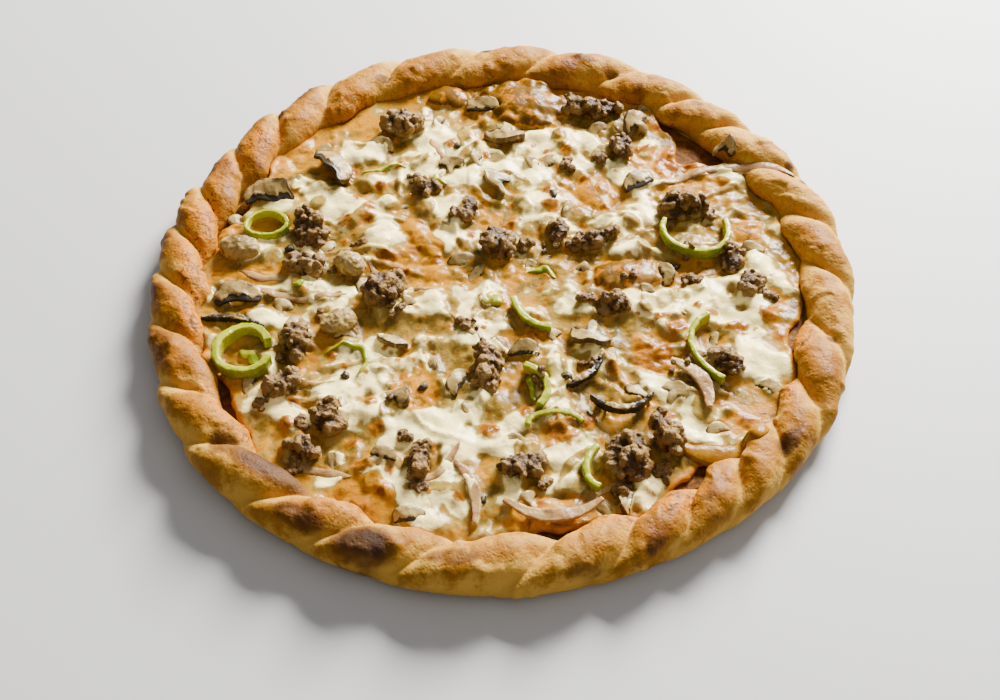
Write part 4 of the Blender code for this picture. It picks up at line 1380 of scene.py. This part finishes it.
@dataclass
class Cheese:
    """The melted cheese and all that it runs round and over."""

    dough: Dough
    landscape: Landscape
    low: float = 6.2
    film: float = 2.2
    pool: float = 2.5
    faces_across: int = 300
    reach_in: float = 1.0
    buried: int = 170
    buried_radius: float = 126.0
    small_blisters: int = 150
    blister_radius: float = 110.0
    tall_dome: float = 4.0
    climb: float = 1.3
    widest_gap: float = 2.2
    least_hold: float = 0.3
    least_bare: float = 0.5
    cover: float = 0.45
    edge_width: float = 5.0
    lip: float = 1.2
    notches: tuple[tuple[float, float, float], ...] = (
        (42, 17, 7), (-54, 7, 6), (157, 6, 8), (-80, 4, 8), (-150, 5, 7), (-12, 4, 6),
    )  # fmt: skip
    height: Array = field(init=False)
    maps: dict[str, Array] = field(init=False, default_factory=dict)

    def outline(self, angle: Array) -> Array:
        """How far the cheese reaches at each angle in radians, before it runs into the crust."""
        table = []
        for step in range(720):
            way = math.tau * step / 720
            ray = Vector((math.cos(way), math.sin(way), 0))
            hit = self.dough.surface.ray_cast(Vector((0, 0, 9.0)), ray)[0]
            table.append(hit.xy.length if hit else CHEESE_EDGE)
        reach = np.array(table) + self.reach_in
        degrees = np.degrees(angle)
        radius = np.interp(angle % math.tau, np.linspace(0, math.tau, 721), [*reach, reach[0]])
        for side, depth, spread in self.notches:
            away = (degrees - side + 180) % 360 - 180
            radius = radius - (depth + self.reach_in) * np.exp(-((away / spread) ** 2))
        edge = CHEESE_EDGE * np.cos(angle), CHEESE_EDGE * np.sin(angle)
        ragged = PLAN.at(PLAN.noise(71, 9.0, 3), *edge)
        return radius - 0.5 * np.maximum(0.0, ragged)

    def lay_out(self) -> None:
        """Works out how thick and how white the cheese is, before any topping."""
        ragged = 0.42 * PLAN.noise(72, 8.0, 4)
        thick = np.zeros_like(PLAN.x)
        for spot in WHITE_CHEESE:
            thick = np.maximum(thick, spot.amount * (1.6 - PLAN.away(spot)))
        thin = np.zeros_like(PLAN.x)
        for spot in THIN_CHEESE:
            thin = np.maximum(thin, spot.amount * smooth(1.6 - PLAN.away(spot)))
        share = thick + ragged - 0.75 * np.minimum(thin, 1.0)
        white = smooth((share - 0.10) / 0.75)
        self.maps = {
            "white": PLAN.blur(white, 0.7) - 0.35 * np.minimum(thin, 1.0),
            "sauce": np.maximum(0.0, thin - 0.95) * 1.6,
            "gold": smooth(0.46 + 0.36 * PLAN.noise(81, 11.0, 3) + 0.5 * thin),
            "pink": np.zeros_like(white),
            "dark": np.zeros_like(white),
            "toast": np.zeros_like(white),
        }
        lumps = 0.7 * PLAN.noise(73, 20.0, 2) + 0.42 * PLAN.noise(74, 8.0, 2)
        self.height = self.low + self.film + lumps + self.pool * PLAN.blur(white, 1.5)
        fine = 0.24 * PLAN.noise(75, 3.0, 2) * (1 - 0.7 * white)
        self.height += fine + 0.6 * white * PLAN.noise(83, 7.0, 1)

    def bury(self) -> None:
        """Raises the cheese over strips and slices that lie in it, which show through where it is thin."""
        draw = random.Random(21)
        wavy = 0.14 * PLAN.noise(82, 6.0, 2)
        white, gold, pink, dark = (self.maps[name] for name in ("white", "gold", "pink", "dark"))
        for number in range(self.buried):
            turn, reach = draw.uniform(0, math.tau), self.buried_radius * math.sqrt(draw.random())
            strip = number % 3 == 0
            lengths, widths = ((16, 34), (3, 5)) if strip else ((8, 17), (5, 9))
            size = draw.uniform(*lengths), draw.uniform(*widths)
            spot = Spot(reach * math.cos(turn), reach * math.sin(turn), *size, draw.uniform(0, 180))
            bend = draw.uniform(-0.02, 0.02)
            where = PLAN.window(spot)
            away = PLAN.away(spot, where, bend) + wavy[where]
            inside = smooth((1.1 - away) / 0.22)
            self.height[where] += draw.uniform(0.6, 1.4) * inside
            hidden = draw.uniform(0.0, 0.75)
            white[where] *= 1 - inside * hidden
            gold[where] *= 1 - 0.75 * inside
            if strip:
                pink[where] = np.maximum(pink[where], inside * draw.uniform(0.2, 0.9))
            else:
                rim = np.exp(-(((away - 1.0) / 0.13) ** 2)) * draw.uniform(0.0, 0.75)
                dark[where] = np.maximum(dark[where], rim * smooth(1.2 * wavy[where] / 0.14 + 0.5))

    def blow_up(self) -> None:
        """Adds the domes and the browned blisters."""
        uneven = 0.10 * PLAN.noise(76, 7.0, 2)
        for dome in DOMES:
            inside = np.clip(1 - (PLAN.away(dome) * 0.88 + uneven) ** 2, 0, None)
            lift = dome.amount * inside**0.62
            self.height = np.maximum(self.height, self.low + self.film * 0.8 + lift * 1.08)
            tinted = smooth(lift / (0.5 * dome.amount))
            self.maps["white"] = self.maps["white"] * (1 - tinted) - 0.45 * tinted
            shine = 1.55 if dome.amount > self.tall_dome else 1.0
            self.maps["gold"] = np.maximum(self.maps["gold"], tinted * shine)
            self.maps["dark"] = self.maps["dark"] * (1 - tinted)
            speckle = 0.04 + 0.3 * PLAN.noise(77, 3.4, 3)
            self.maps["toast"] = np.maximum(self.maps["toast"], speckle * tinted)
        draw = random.Random(8)
        scattered = []
        for _ in range(self.small_blisters):
            turn, reach, size = draw.uniform(0, math.tau), draw.uniform(0.05, 1.15), draw.uniform(2.0, 4.4)
            x = self.blister_radius * math.cos(turn) * reach
            y = self.blister_radius * math.sin(turn) * reach
            scattered.append(Spot(x, y, size, size * draw.uniform(0.7, 1), 0, 0.75))
        ragged = 0.2 * PLAN.noise(78, 2.6, 3)
        for spot in (*BLISTERS, *scattered):
            where = PLAN.window(spot)
            inside = np.clip(1.3 - PLAN.away(spot, where) - ragged[where], 0, 1)
            self.height[where] += spot.amount * min(1.0, 0.13 * spot.length) * smooth(inside * 1.2)
            ring = smooth(inside * 2.2) * (0.62 + 0.5 * smooth((inside - 0.45) * 2.4))
            self.maps["toast"][where] = np.maximum(self.maps["toast"][where], spot.amount * ring)

    def settle(self) -> None:
        """Lets the cheese hug the toppings: it fills small gaps, climbs their sides and runs over some, and
        paints shade beside them.
        """
        scape = self.landscape
        filled = scape.top > 0
        near = PLAN.blur(filled.astype(float), 1.3)
        self.height += self.climb * near * ~filled
        gap = scape.under - self.height
        stuck = filled & (gap < self.widest_gap)
        self.height = np.where(stuck, np.maximum(self.height, scape.under + self.least_hold), self.height)
        bare = filled & (scape.coverable < 1.0)
        self.height = np.where(bare, np.minimum(self.height, scape.top - self.least_bare), self.height)
        runs = PLAN.noise(79, 7.0, 3) + 0.9 * self.maps["white"] - 0.85
        edge = smooth((1.15 - PLAN.blur(filled.astype(float), 2.2) * 1.2) * 1.6)
        over = smooth(runs * scape.coverable * (0.4 + edge)) * filled
        low_enough = smooth((9.0 - (scape.top - self.low)) / 3.0)
        over = PLAN.blur(over * low_enough, 0.5)
        cover = np.where(filled, scape.top + self.cover, self.height)
        self.height = self.height * (1 - over) + cover * over
        self.maps["white"] += (0.95 - self.maps["white"]) * smooth(over * 2)
        self.maps["toast"] *= 1 - smooth(over * 2)
        # Painted shade round the toppings: the cheese just beside them is made less white and laid with the
        # dark gill colour.
        beside = PLAN.blur(filled.astype(float), 1.6) * ~filled
        self.maps["white"] -= 0.25 * beside
        self.maps["dark"] = np.maximum(self.maps["dark"], 0.5 * smooth((beside - 0.22) * 3))
        self.height = np.where(filled, self.height, PLAN.blur(self.height, 0.35))

    def spread(self) -> bpy.types.Object:
        """Fits a square grid with even faces to the cheese's outline, and closes it below."""
        piece, across, along = add_grid("melted_cheese", self.faces_across, self.faces_across)
        a, b = 2 * across - 1, 2 * along - 1
        wide = np.abs(a) > np.abs(b)
        share = np.where(wide, np.abs(a), np.abs(b))
        with np.errstate(divide="ignore", invalid="ignore"):
            angle = np.where(wide, math.pi / 4 * b / a, math.pi / 2 - math.pi / 4 * a / b)
        angle = np.nan_to_num(angle)
        angle += np.where(np.where(wide, a, b) < 0, math.pi, 0.0)
        radius = share * self.outline(angle)
        x, y = radius * np.cos(angle), radius * np.sin(angle)
        z = PLAN.at(self.height, x, y)
        from_edge = (1 - share) * CHEESE_EDGE
        rough = PLAN.at(PLAN.noise(80, 12.0, 2), x, y)
        edge = smooth((self.edge_width - from_edge) / self.edge_width)
        z += edge * (0.2 + 0.4 * rough)
        z = np.where(from_edge < self.lip, z - (self.lip - from_edge) * 0.9, z)
        z = np.maximum(z, self.low + 0.5)
        move_points(piece, np.stack([x, y, z], axis=1))
        for name, values in self.maps.items():
            reading = PLAN.at(values, x, y)
            if name == "toast":
                reading = np.maximum(reading, edge * (0.3 + 0.3 * rough))
            if name == "white":
                reading = reading * (1 - 0.6 * edge)
            if name == "gold":
                reading = np.maximum(reading, edge)
            paint(piece, name, reading)
        self.close(piece)
        return piece

    def close(self, piece: bpy.types.Object) -> None:
        """Extrudes the open edge down to the cheese's flat underside and fills it."""
        select_only(piece)
        bpy.ops.object.mode_set(mode="EDIT")
        bpy.ops.mesh.select_all(action="DESELECT")
        bpy.ops.mesh.select_mode(type="EDGE")
        bpy.ops.mesh.select_non_manifold()
        bpy.ops.mesh.extrude_region_move()
        builder = bmesh.from_edit_mesh(piece.data)
        for vertex in builder.verts:
            if vertex.select:
                vertex.co.z = self.low * MM
        bmesh.update_edit_mesh(piece.data)
        bpy.ops.mesh.edge_face_add()
        bpy.ops.mesh.select_all(action="SELECT")
        bpy.ops.mesh.normals_make_consistent(inside=False)
        bpy.ops.object.mode_set(mode="OBJECT")

    def prepare(self) -> None:
        """Lays the cheese out, so that small toppings can be set in it."""
        self.lay_out()
        self.bury()
        self.blow_up()

    def build(self) -> None:
        """Makes the cheese."""
        self.settle()
        finish_piece(self.spread(), CheeseFinish().material(), ["cheese"])


# Strips as the points that each passes seen from above, its width, thickness and how far it is raised
PALE_STRIPS = (
    (((78, 62), (92, 68), (106, 71), (122, 70), (134, 66), (142, 58)), 6.2, 2.6, 0.6),
    (((-118, -1), (-104, -7), (-88, -11), (-70, -8)), 4.4, 1.8, 0.2),
    (((86, -30), (84, -44), (90, -56), (99, -62)), 5.0, 1.6, 0.0),
    (((-66, 20), (-58, 6), (-44, -4), (-26, -6)), 3.4, 1.6, 0.0),
    (((-24, -20), (-10, -34), (-4, -44)), 3.6, 1.6, 0.0),
    (((-44, -112), (-26, -108), (-18, -92)), 4.0, 1.6, 0.0),
    (((-38, 98), (-30, 88), (-28, 74), (-32, 64)), 4.6, 1.6, 0.0),
    (((62, -118), (54, -108), (38, -116), (28, -130)), 4.0, 1.8, 0.0),
    (((-92, -98), (-78, -104), (-62, -108)), 5.0, 1.8, 0.0),
    (((-122, 8), (-110, 2), (-98, 4)), 4.4, 1.8, 0.0),
)
PEPPER_STRIPS = (
    (((-78, -42), (-70, -38), (-61, -41), (-59, -50), (-63, -57)), 2.8, 3.0, 0.4),
    (((-68, 72), (-58, 75), (-46, 74)), 2.6, 2.2, 0.2),
    (((-9, -14), (-4, -11), (0, -14)), 7.0, 4.4, 0.8),
    (((12, 6), (20, 8), (25, 2)), 3.4, 2.6, 0.3),
    (((-116, -40), (-110, -44), (-107, -50)), 5.0, 3.0, 0.2),
    (((-30, 72), (-32, 66), (-26, 62)), 3.0, 2.2, 0.2),
    (((14, -52), (12, -60), (14, -70)), 3.6, 3.4, 0.6),
    (((-96, -4), (-86, -2)), 4.0, 2.4, 0.2),
)
CRESCENT = (((70, -91), (79, -97), (91, -99), (103, -95), (110, -89)), 9.5, 4.0, 0.8)


@dataclass
class Strands:
    """Strips that the solids leave to this script, bent along their paths and half sunk in the cheese."""

    landscape: Landscape
    ground: Array
    crust: BVHTree
    steps: int = 60
    sides: int = 14
    path_rounds: int = 14
    ground_rounds: int = 6
    taper: float = 0.45

    def course(self, path: Sequence[tuple[float, float]]) -> tuple[Array, Array]:
        """Rounds a path's corners and lays it on the cheese or the crust.

        Args:
            path: The points that it passes.

        Returns:
            Its points seen from above, and the height of what lies under each.
        """
        line = np.array(path, float)
        share = np.linspace(0, len(line) - 1, self.steps + 1)
        middle = np.stack([np.interp(share, range(len(line)), line[:, axis]) for axis in (0, 1)], axis=1)
        soften(middle, self.path_rounds)
        ground = PLAN.at(self.ground, middle[:, 0], middle[:, 1])
        for number, (x, y) in enumerate(middle):
            hit = self.crust.ray_cast(Vector((x, y, ABOVE)), DOWN)[0]
            ground[number] = max(ground[number], hit.z if hit else 0.0)
        soften(ground, self.ground_rounds)
        return middle, ground

    def ribbon(
        self, name: str, path: Sequence[tuple[float, float]], width: float, thickness: float, lift: float
    ) -> bpy.types.Object:
        """Makes a flat strip with rounded edges and tapered ends.

        Args:
            name: Its name.
            path: The points that it passes, seen from above.
            width: Its width in the middle.
            thickness: Its thickness.
            lift: How far it is raised off what it lies on.

        Returns:
            The strip.
        """
        middle, ground = self.course(path)
        along = np.gradient(middle, axis=0)
        along /= np.linalg.norm(along, axis=1)[:, None]
        piece, across, around = add_grid(name, self.steps, self.sides)
        row = np.rint(across * self.steps).astype(int)
        turn = math.tau * around
        taper = np.sin(math.pi * np.clip(across, 0, 1)) ** self.taper
        wave = 1 + 0.2 * np.sin(across * 11 + width)
        side = np.cos(turn) * width / 2 * taper * wave
        up = np.sin(turn) * thickness / 2 * taper + 0.5 * np.sin(across * 9 + thickness) * np.cos(turn)
        x = middle[row, 0] - along[row, 1] * side
        y = middle[row, 1] + along[row, 0] * side
        move_points(piece, np.stack([x, y, ground[row] + up + lift], axis=1))
        tidy_mesh(piece, 1e-5)
        return piece

    def bundle(
        self, name: str, strips: Sequence[tuple], coverable: float, cloud: Union[Array, None] = None
    ) -> bpy.types.Object:
        """Makes strips, marks where they lie and joins them.

        Args:
            name: The name of the piece.
            strips: Each strip's path, width, thickness and lift.
            coverable: How readily cheese runs over them.
            cloud: A map that makes their skin uneven, if they have one.

        Returns:
            The strips in one piece.
        """
        made = []
        for number, strip in enumerate(strips, 1):
            piece = self.ribbon(f"{name}_{number}", *strip)
            if cloud is not None:
                x, y, _ = points_of(piece).T
                paint(piece, "skin", 0.5 + 0.4 * PLAN.at(cloud, x, y))
            self.landscape.add(piece, coverable)
            made.append(piece)
        piece = join(made)
        piece.name = name
        return piece

    def build(self) -> None:
        """Makes the strips of onion and pepper."""
        pale = self.bundle("pale_strands", PALE_STRIPS, 1.2)
        finish_piece(pale, bpy.data.materials["cooked_onion"])
        crescent = self.ribbon("yellow_crescent", *CRESCENT)
        paint(crescent, "skin", np.full(len(crescent.data.vertices), 0.9))
        self.landscape.add(crescent, 0.0)
        finish_piece(crescent, YELLOW_PEPPER_FINISH.material())
        arcs = self.bundle("pepper_arcs", PEPPER_STRIPS, 0.7, PLAN.noise(63, 9.0, 1))
        finish_piece(arcs, bpy.data.materials["green_pepper"])


def anywhere(draw: random.Random, radius: float) -> tuple[float, float]:
    """A random place on the pizza, within a radius."""
    turn = draw.uniform(0, math.tau)
    x = radius * math.sqrt(draw.random()) * math.cos(turn)
    return x, radius * math.sqrt(draw.random()) * math.sin(turn)


@dataclass
class Crumbs:
    """Small bits that lie about: mince and gills. One piece for each kind."""

    cheese: Cheese
    landscape: Landscape
    meat_nodes: Sequence[str]
    lone_clusters: int = 14
    cluster_radius: float = 106.0
    cluster_spread: float = 1.9
    cluster_count: tuple[int, int] = (4, 9)
    grain: tuple[float, float] = (1.8, 4.2)
    gills: int = 9
    gill_length: tuple[float, float] = (4.0, 7.0)
    gill_width: tuple[float, float] = (3.0, 4.6)
    gill_radius: float = 122.0
    roughness: float = 0.16
    voxel: float = 0.45

    def ground(self, x: float, y: float) -> float:
        """The height of what lies at a place."""
        return max(PLAN.read(self.cheese.height, x, y), PLAN.read(self.landscape.top, x, y))

    def strew(
        self, name: str, places: Sequence[Spot], seed: int, bend: float, flat: float
    ) -> bpy.types.Object:
        """Puts a rough ball at each place, stretched to its length and width.

        Args:
            name: The new piece's name.
            places: Where the bits lie and how large they are.
            seed: Picks how rough they are.
            bend: How much a long bit bends.
            flat: A bit's height as a share of its width.

        Returns:
            The bits in one piece.
        """
        draw = np.random.default_rng(seed)
        ball, faces = ball_template()
        every = []
        for spot in places:
            x, y, z = (ball * (1 + draw.uniform(-self.roughness, self.roughness, (len(ball), 1)))).T
            x = x * spot.length / 2
            y = y * spot.width / 2 + bend * x**2 / max(4.0, spot.length)
            cos, sin = math.cos(math.radians(spot.turn)), math.sin(math.radians(spot.turn))
            ground = self.ground(spot.x, spot.y) + spot.width * flat * 0.22
            bit = spot.x + x * cos - y * sin, spot.y + x * sin + y * cos, ground + z * spot.width * flat / 2
            every.append(np.stack(bit, axis=1))
        return mesh_from(name, np.concatenate(every), tile_faces(faces, len(ball), len(places)))

    def mince_places(self) -> list[Spot]:
        """Small clusters of grains beside the large crumbs, and a few on their own."""
        draw = random.Random(3)
        centres = []
        for node in self.meat_nodes:
            low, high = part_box(node)
            turn = draw.uniform(0, math.tau)
            reach = (0.35 + 0.32 * draw.random()) * (high[0] - low[0] + high[1] - low[1]) / 2 / MM + 3
            x, y = ((low[axis] + high[axis]) / 2 / MM for axis in (0, 1))
            centres.append((x + reach * math.cos(turn), y + reach * math.sin(turn)))
        centres += [anywhere(draw, self.cluster_radius) for _ in range(self.lone_clusters)]
        places = []
        for x, y in centres:
            for _ in range(draw.randint(*self.cluster_count)):
                size = draw.uniform(*self.grain)
                place = x + draw.gauss(0, self.cluster_spread), y + draw.gauss(0, self.cluster_spread)
                places.append(Spot(*place, size * draw.uniform(1.0, 1.6), size, draw.uniform(0, 180)))
        return places

    def gill_places(self) -> list[Spot]:
        """A few torn bits of gill."""
        draw = random.Random(7)
        places = []
        for _ in range(self.gills):
            place = anywhere(draw, self.gill_radius)
            size = draw.uniform(*self.gill_length), draw.uniform(*self.gill_width)
            places.append(Spot(*place, *size, draw.uniform(0, 180)))
        return places

    def build(self) -> None:
        """Makes each kind of crumb."""
        mince = self.strew("mince_crumbs", self.mince_places(), 5, 0.0, 0.95)
        remesh(mince, self.voxel)
        roughen_grains(mince)
        paint(mince, "ridge", np.random.default_rng(6).uniform(0.2, 0.9, len(mince.data.vertices)))
        finish_piece(mince, bpy.data.materials["browned_meat"])
        bits = self.strew("gill_bits", self.gill_places(), 8, 0.6, 0.7)
        count = len(bits.data.vertices)
        paint(bits, "gill", np.random.default_rng(9).uniform(0.2, 1.0, count))
        paint(bits, "skin", np.full(count, 0.7))
        finish_piece(bits, bpy.data.materials["cooked_mushroom"])


@dataclass(frozen=True)
class Lamp:
    """A square soft light that points at the pizza. Its place and size are in metres."""

    name: str
    place: Colour
    size: float
    power: float
    colour: Colour

    def build(self) -> None:
        """Adds the light."""
        data = bpy.data.lights.new(self.name, "AREA")
        data.size = self.size
        data.energy = self.power
        data.color = self.colour
        light = bpy.data.objects.new(self.name, data)
        light.location = self.place
        light.rotation_euler = (-Vector(self.place)).to_track_quat("-Z", "Y").to_euler()
        bpy.context.scene.collection.objects.link(light)


@dataclass
class Studio:
    """The floor, the soft light and the camera. Its places are in metres."""

    camera_place: Colour = (-0.0009, -0.4282, 0.4844)
    camera_aim: Colour = (-0.0009, -0.0334, 0.0)
    camera_roll: float = -0.47
    lens: float = 50.0
    sensor: float = 36.0
    nearest: float = 0.01
    floor_size: float = 6.0
    lamps: tuple[Lamp, ...] = (
        Lamp("window", (0.62, 1.16, 0.72), 0.6, 182.0, (1.0, 0.985, 0.95)),
        Lamp("fill", (0.9, -0.6, 1.3), 1.6, 6.0, (1.0, 0.99, 0.97)),
    )
    world_colour: Colour = (1.0, 0.985, 0.96)
    world_strength: float = 0.36

    def build_floor(self) -> None:
        """Adds the floor."""
        deselect()
        bpy.ops.mesh.primitive_plane_add(size=self.floor_size)
        floor = bpy.context.active_object
        floor.name = "floor"
        floor.data.materials.append(FloorFinish().material())

    def build_world(self) -> None:
        """Adds the weak light from all round."""
        world = bpy.data.worlds.new("studio")
        world.use_nodes = True
        background = world.node_tree.nodes["Background"].inputs
        background["Color"].default_value = (*self.world_colour, 1.0)
        background["Strength"].default_value = self.world_strength
        bpy.context.scene.world = world

    def build_camera(self) -> None:
        """Adds the camera, a little rolled."""
        camera = bpy.data.objects.new("camera", bpy.data.cameras.new("camera"))
        camera.data.lens = self.lens
        camera.data.sensor_width = self.sensor
        camera.data.clip_start = self.nearest
        camera.location = self.camera_place
        way = Vector(self.camera_aim) - Vector(self.camera_place)
        roll = Matrix.Rotation(math.radians(self.camera_roll), 3, "Z")
        camera.rotation_euler = (way.to_track_quat("-Z", "Y").to_matrix() @ roll).to_euler()
        bpy.context.scene.collection.objects.link(camera)
        bpy.context.scene.camera = camera

    def build(self) -> None:
        """Makes the stage."""
        self.build_floor()
        for lamp in self.lamps:
            lamp.build()
        self.build_world()
        self.build_camera()


def main() -> None:
    """Builds the pizza: crust, toppings, the cheese round them, crumbs and the stage."""
    logging.basicConfig(level=logging.INFO, format="%(message)s")
    dough = Dough()
    dough.build()
    sauce = SAUCE_FINISH.material()
    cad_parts["sauce"].data.materials.clear()
    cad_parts["sauce"].data.materials.append(sauce)
    landscape = Landscape()
    cheese = Cheese(dough, landscape)
    cheese.prepare()
    Onions(landscape).build()
    Peppers(landscape).build()
    Mushrooms(landscape, cheese.height).build()
    meat_nodes = [f"meat_{number:02d}" for number in range(1, 26)]
    Meat(landscape, meat_nodes).build()
    Strands(landscape, cheese.height, dough.surface).build()
    cheese.build()
    Crumbs(cheese, landscape, meat_nodes).build()
    Studio().build()


if __name__ == "__main__":
    main()
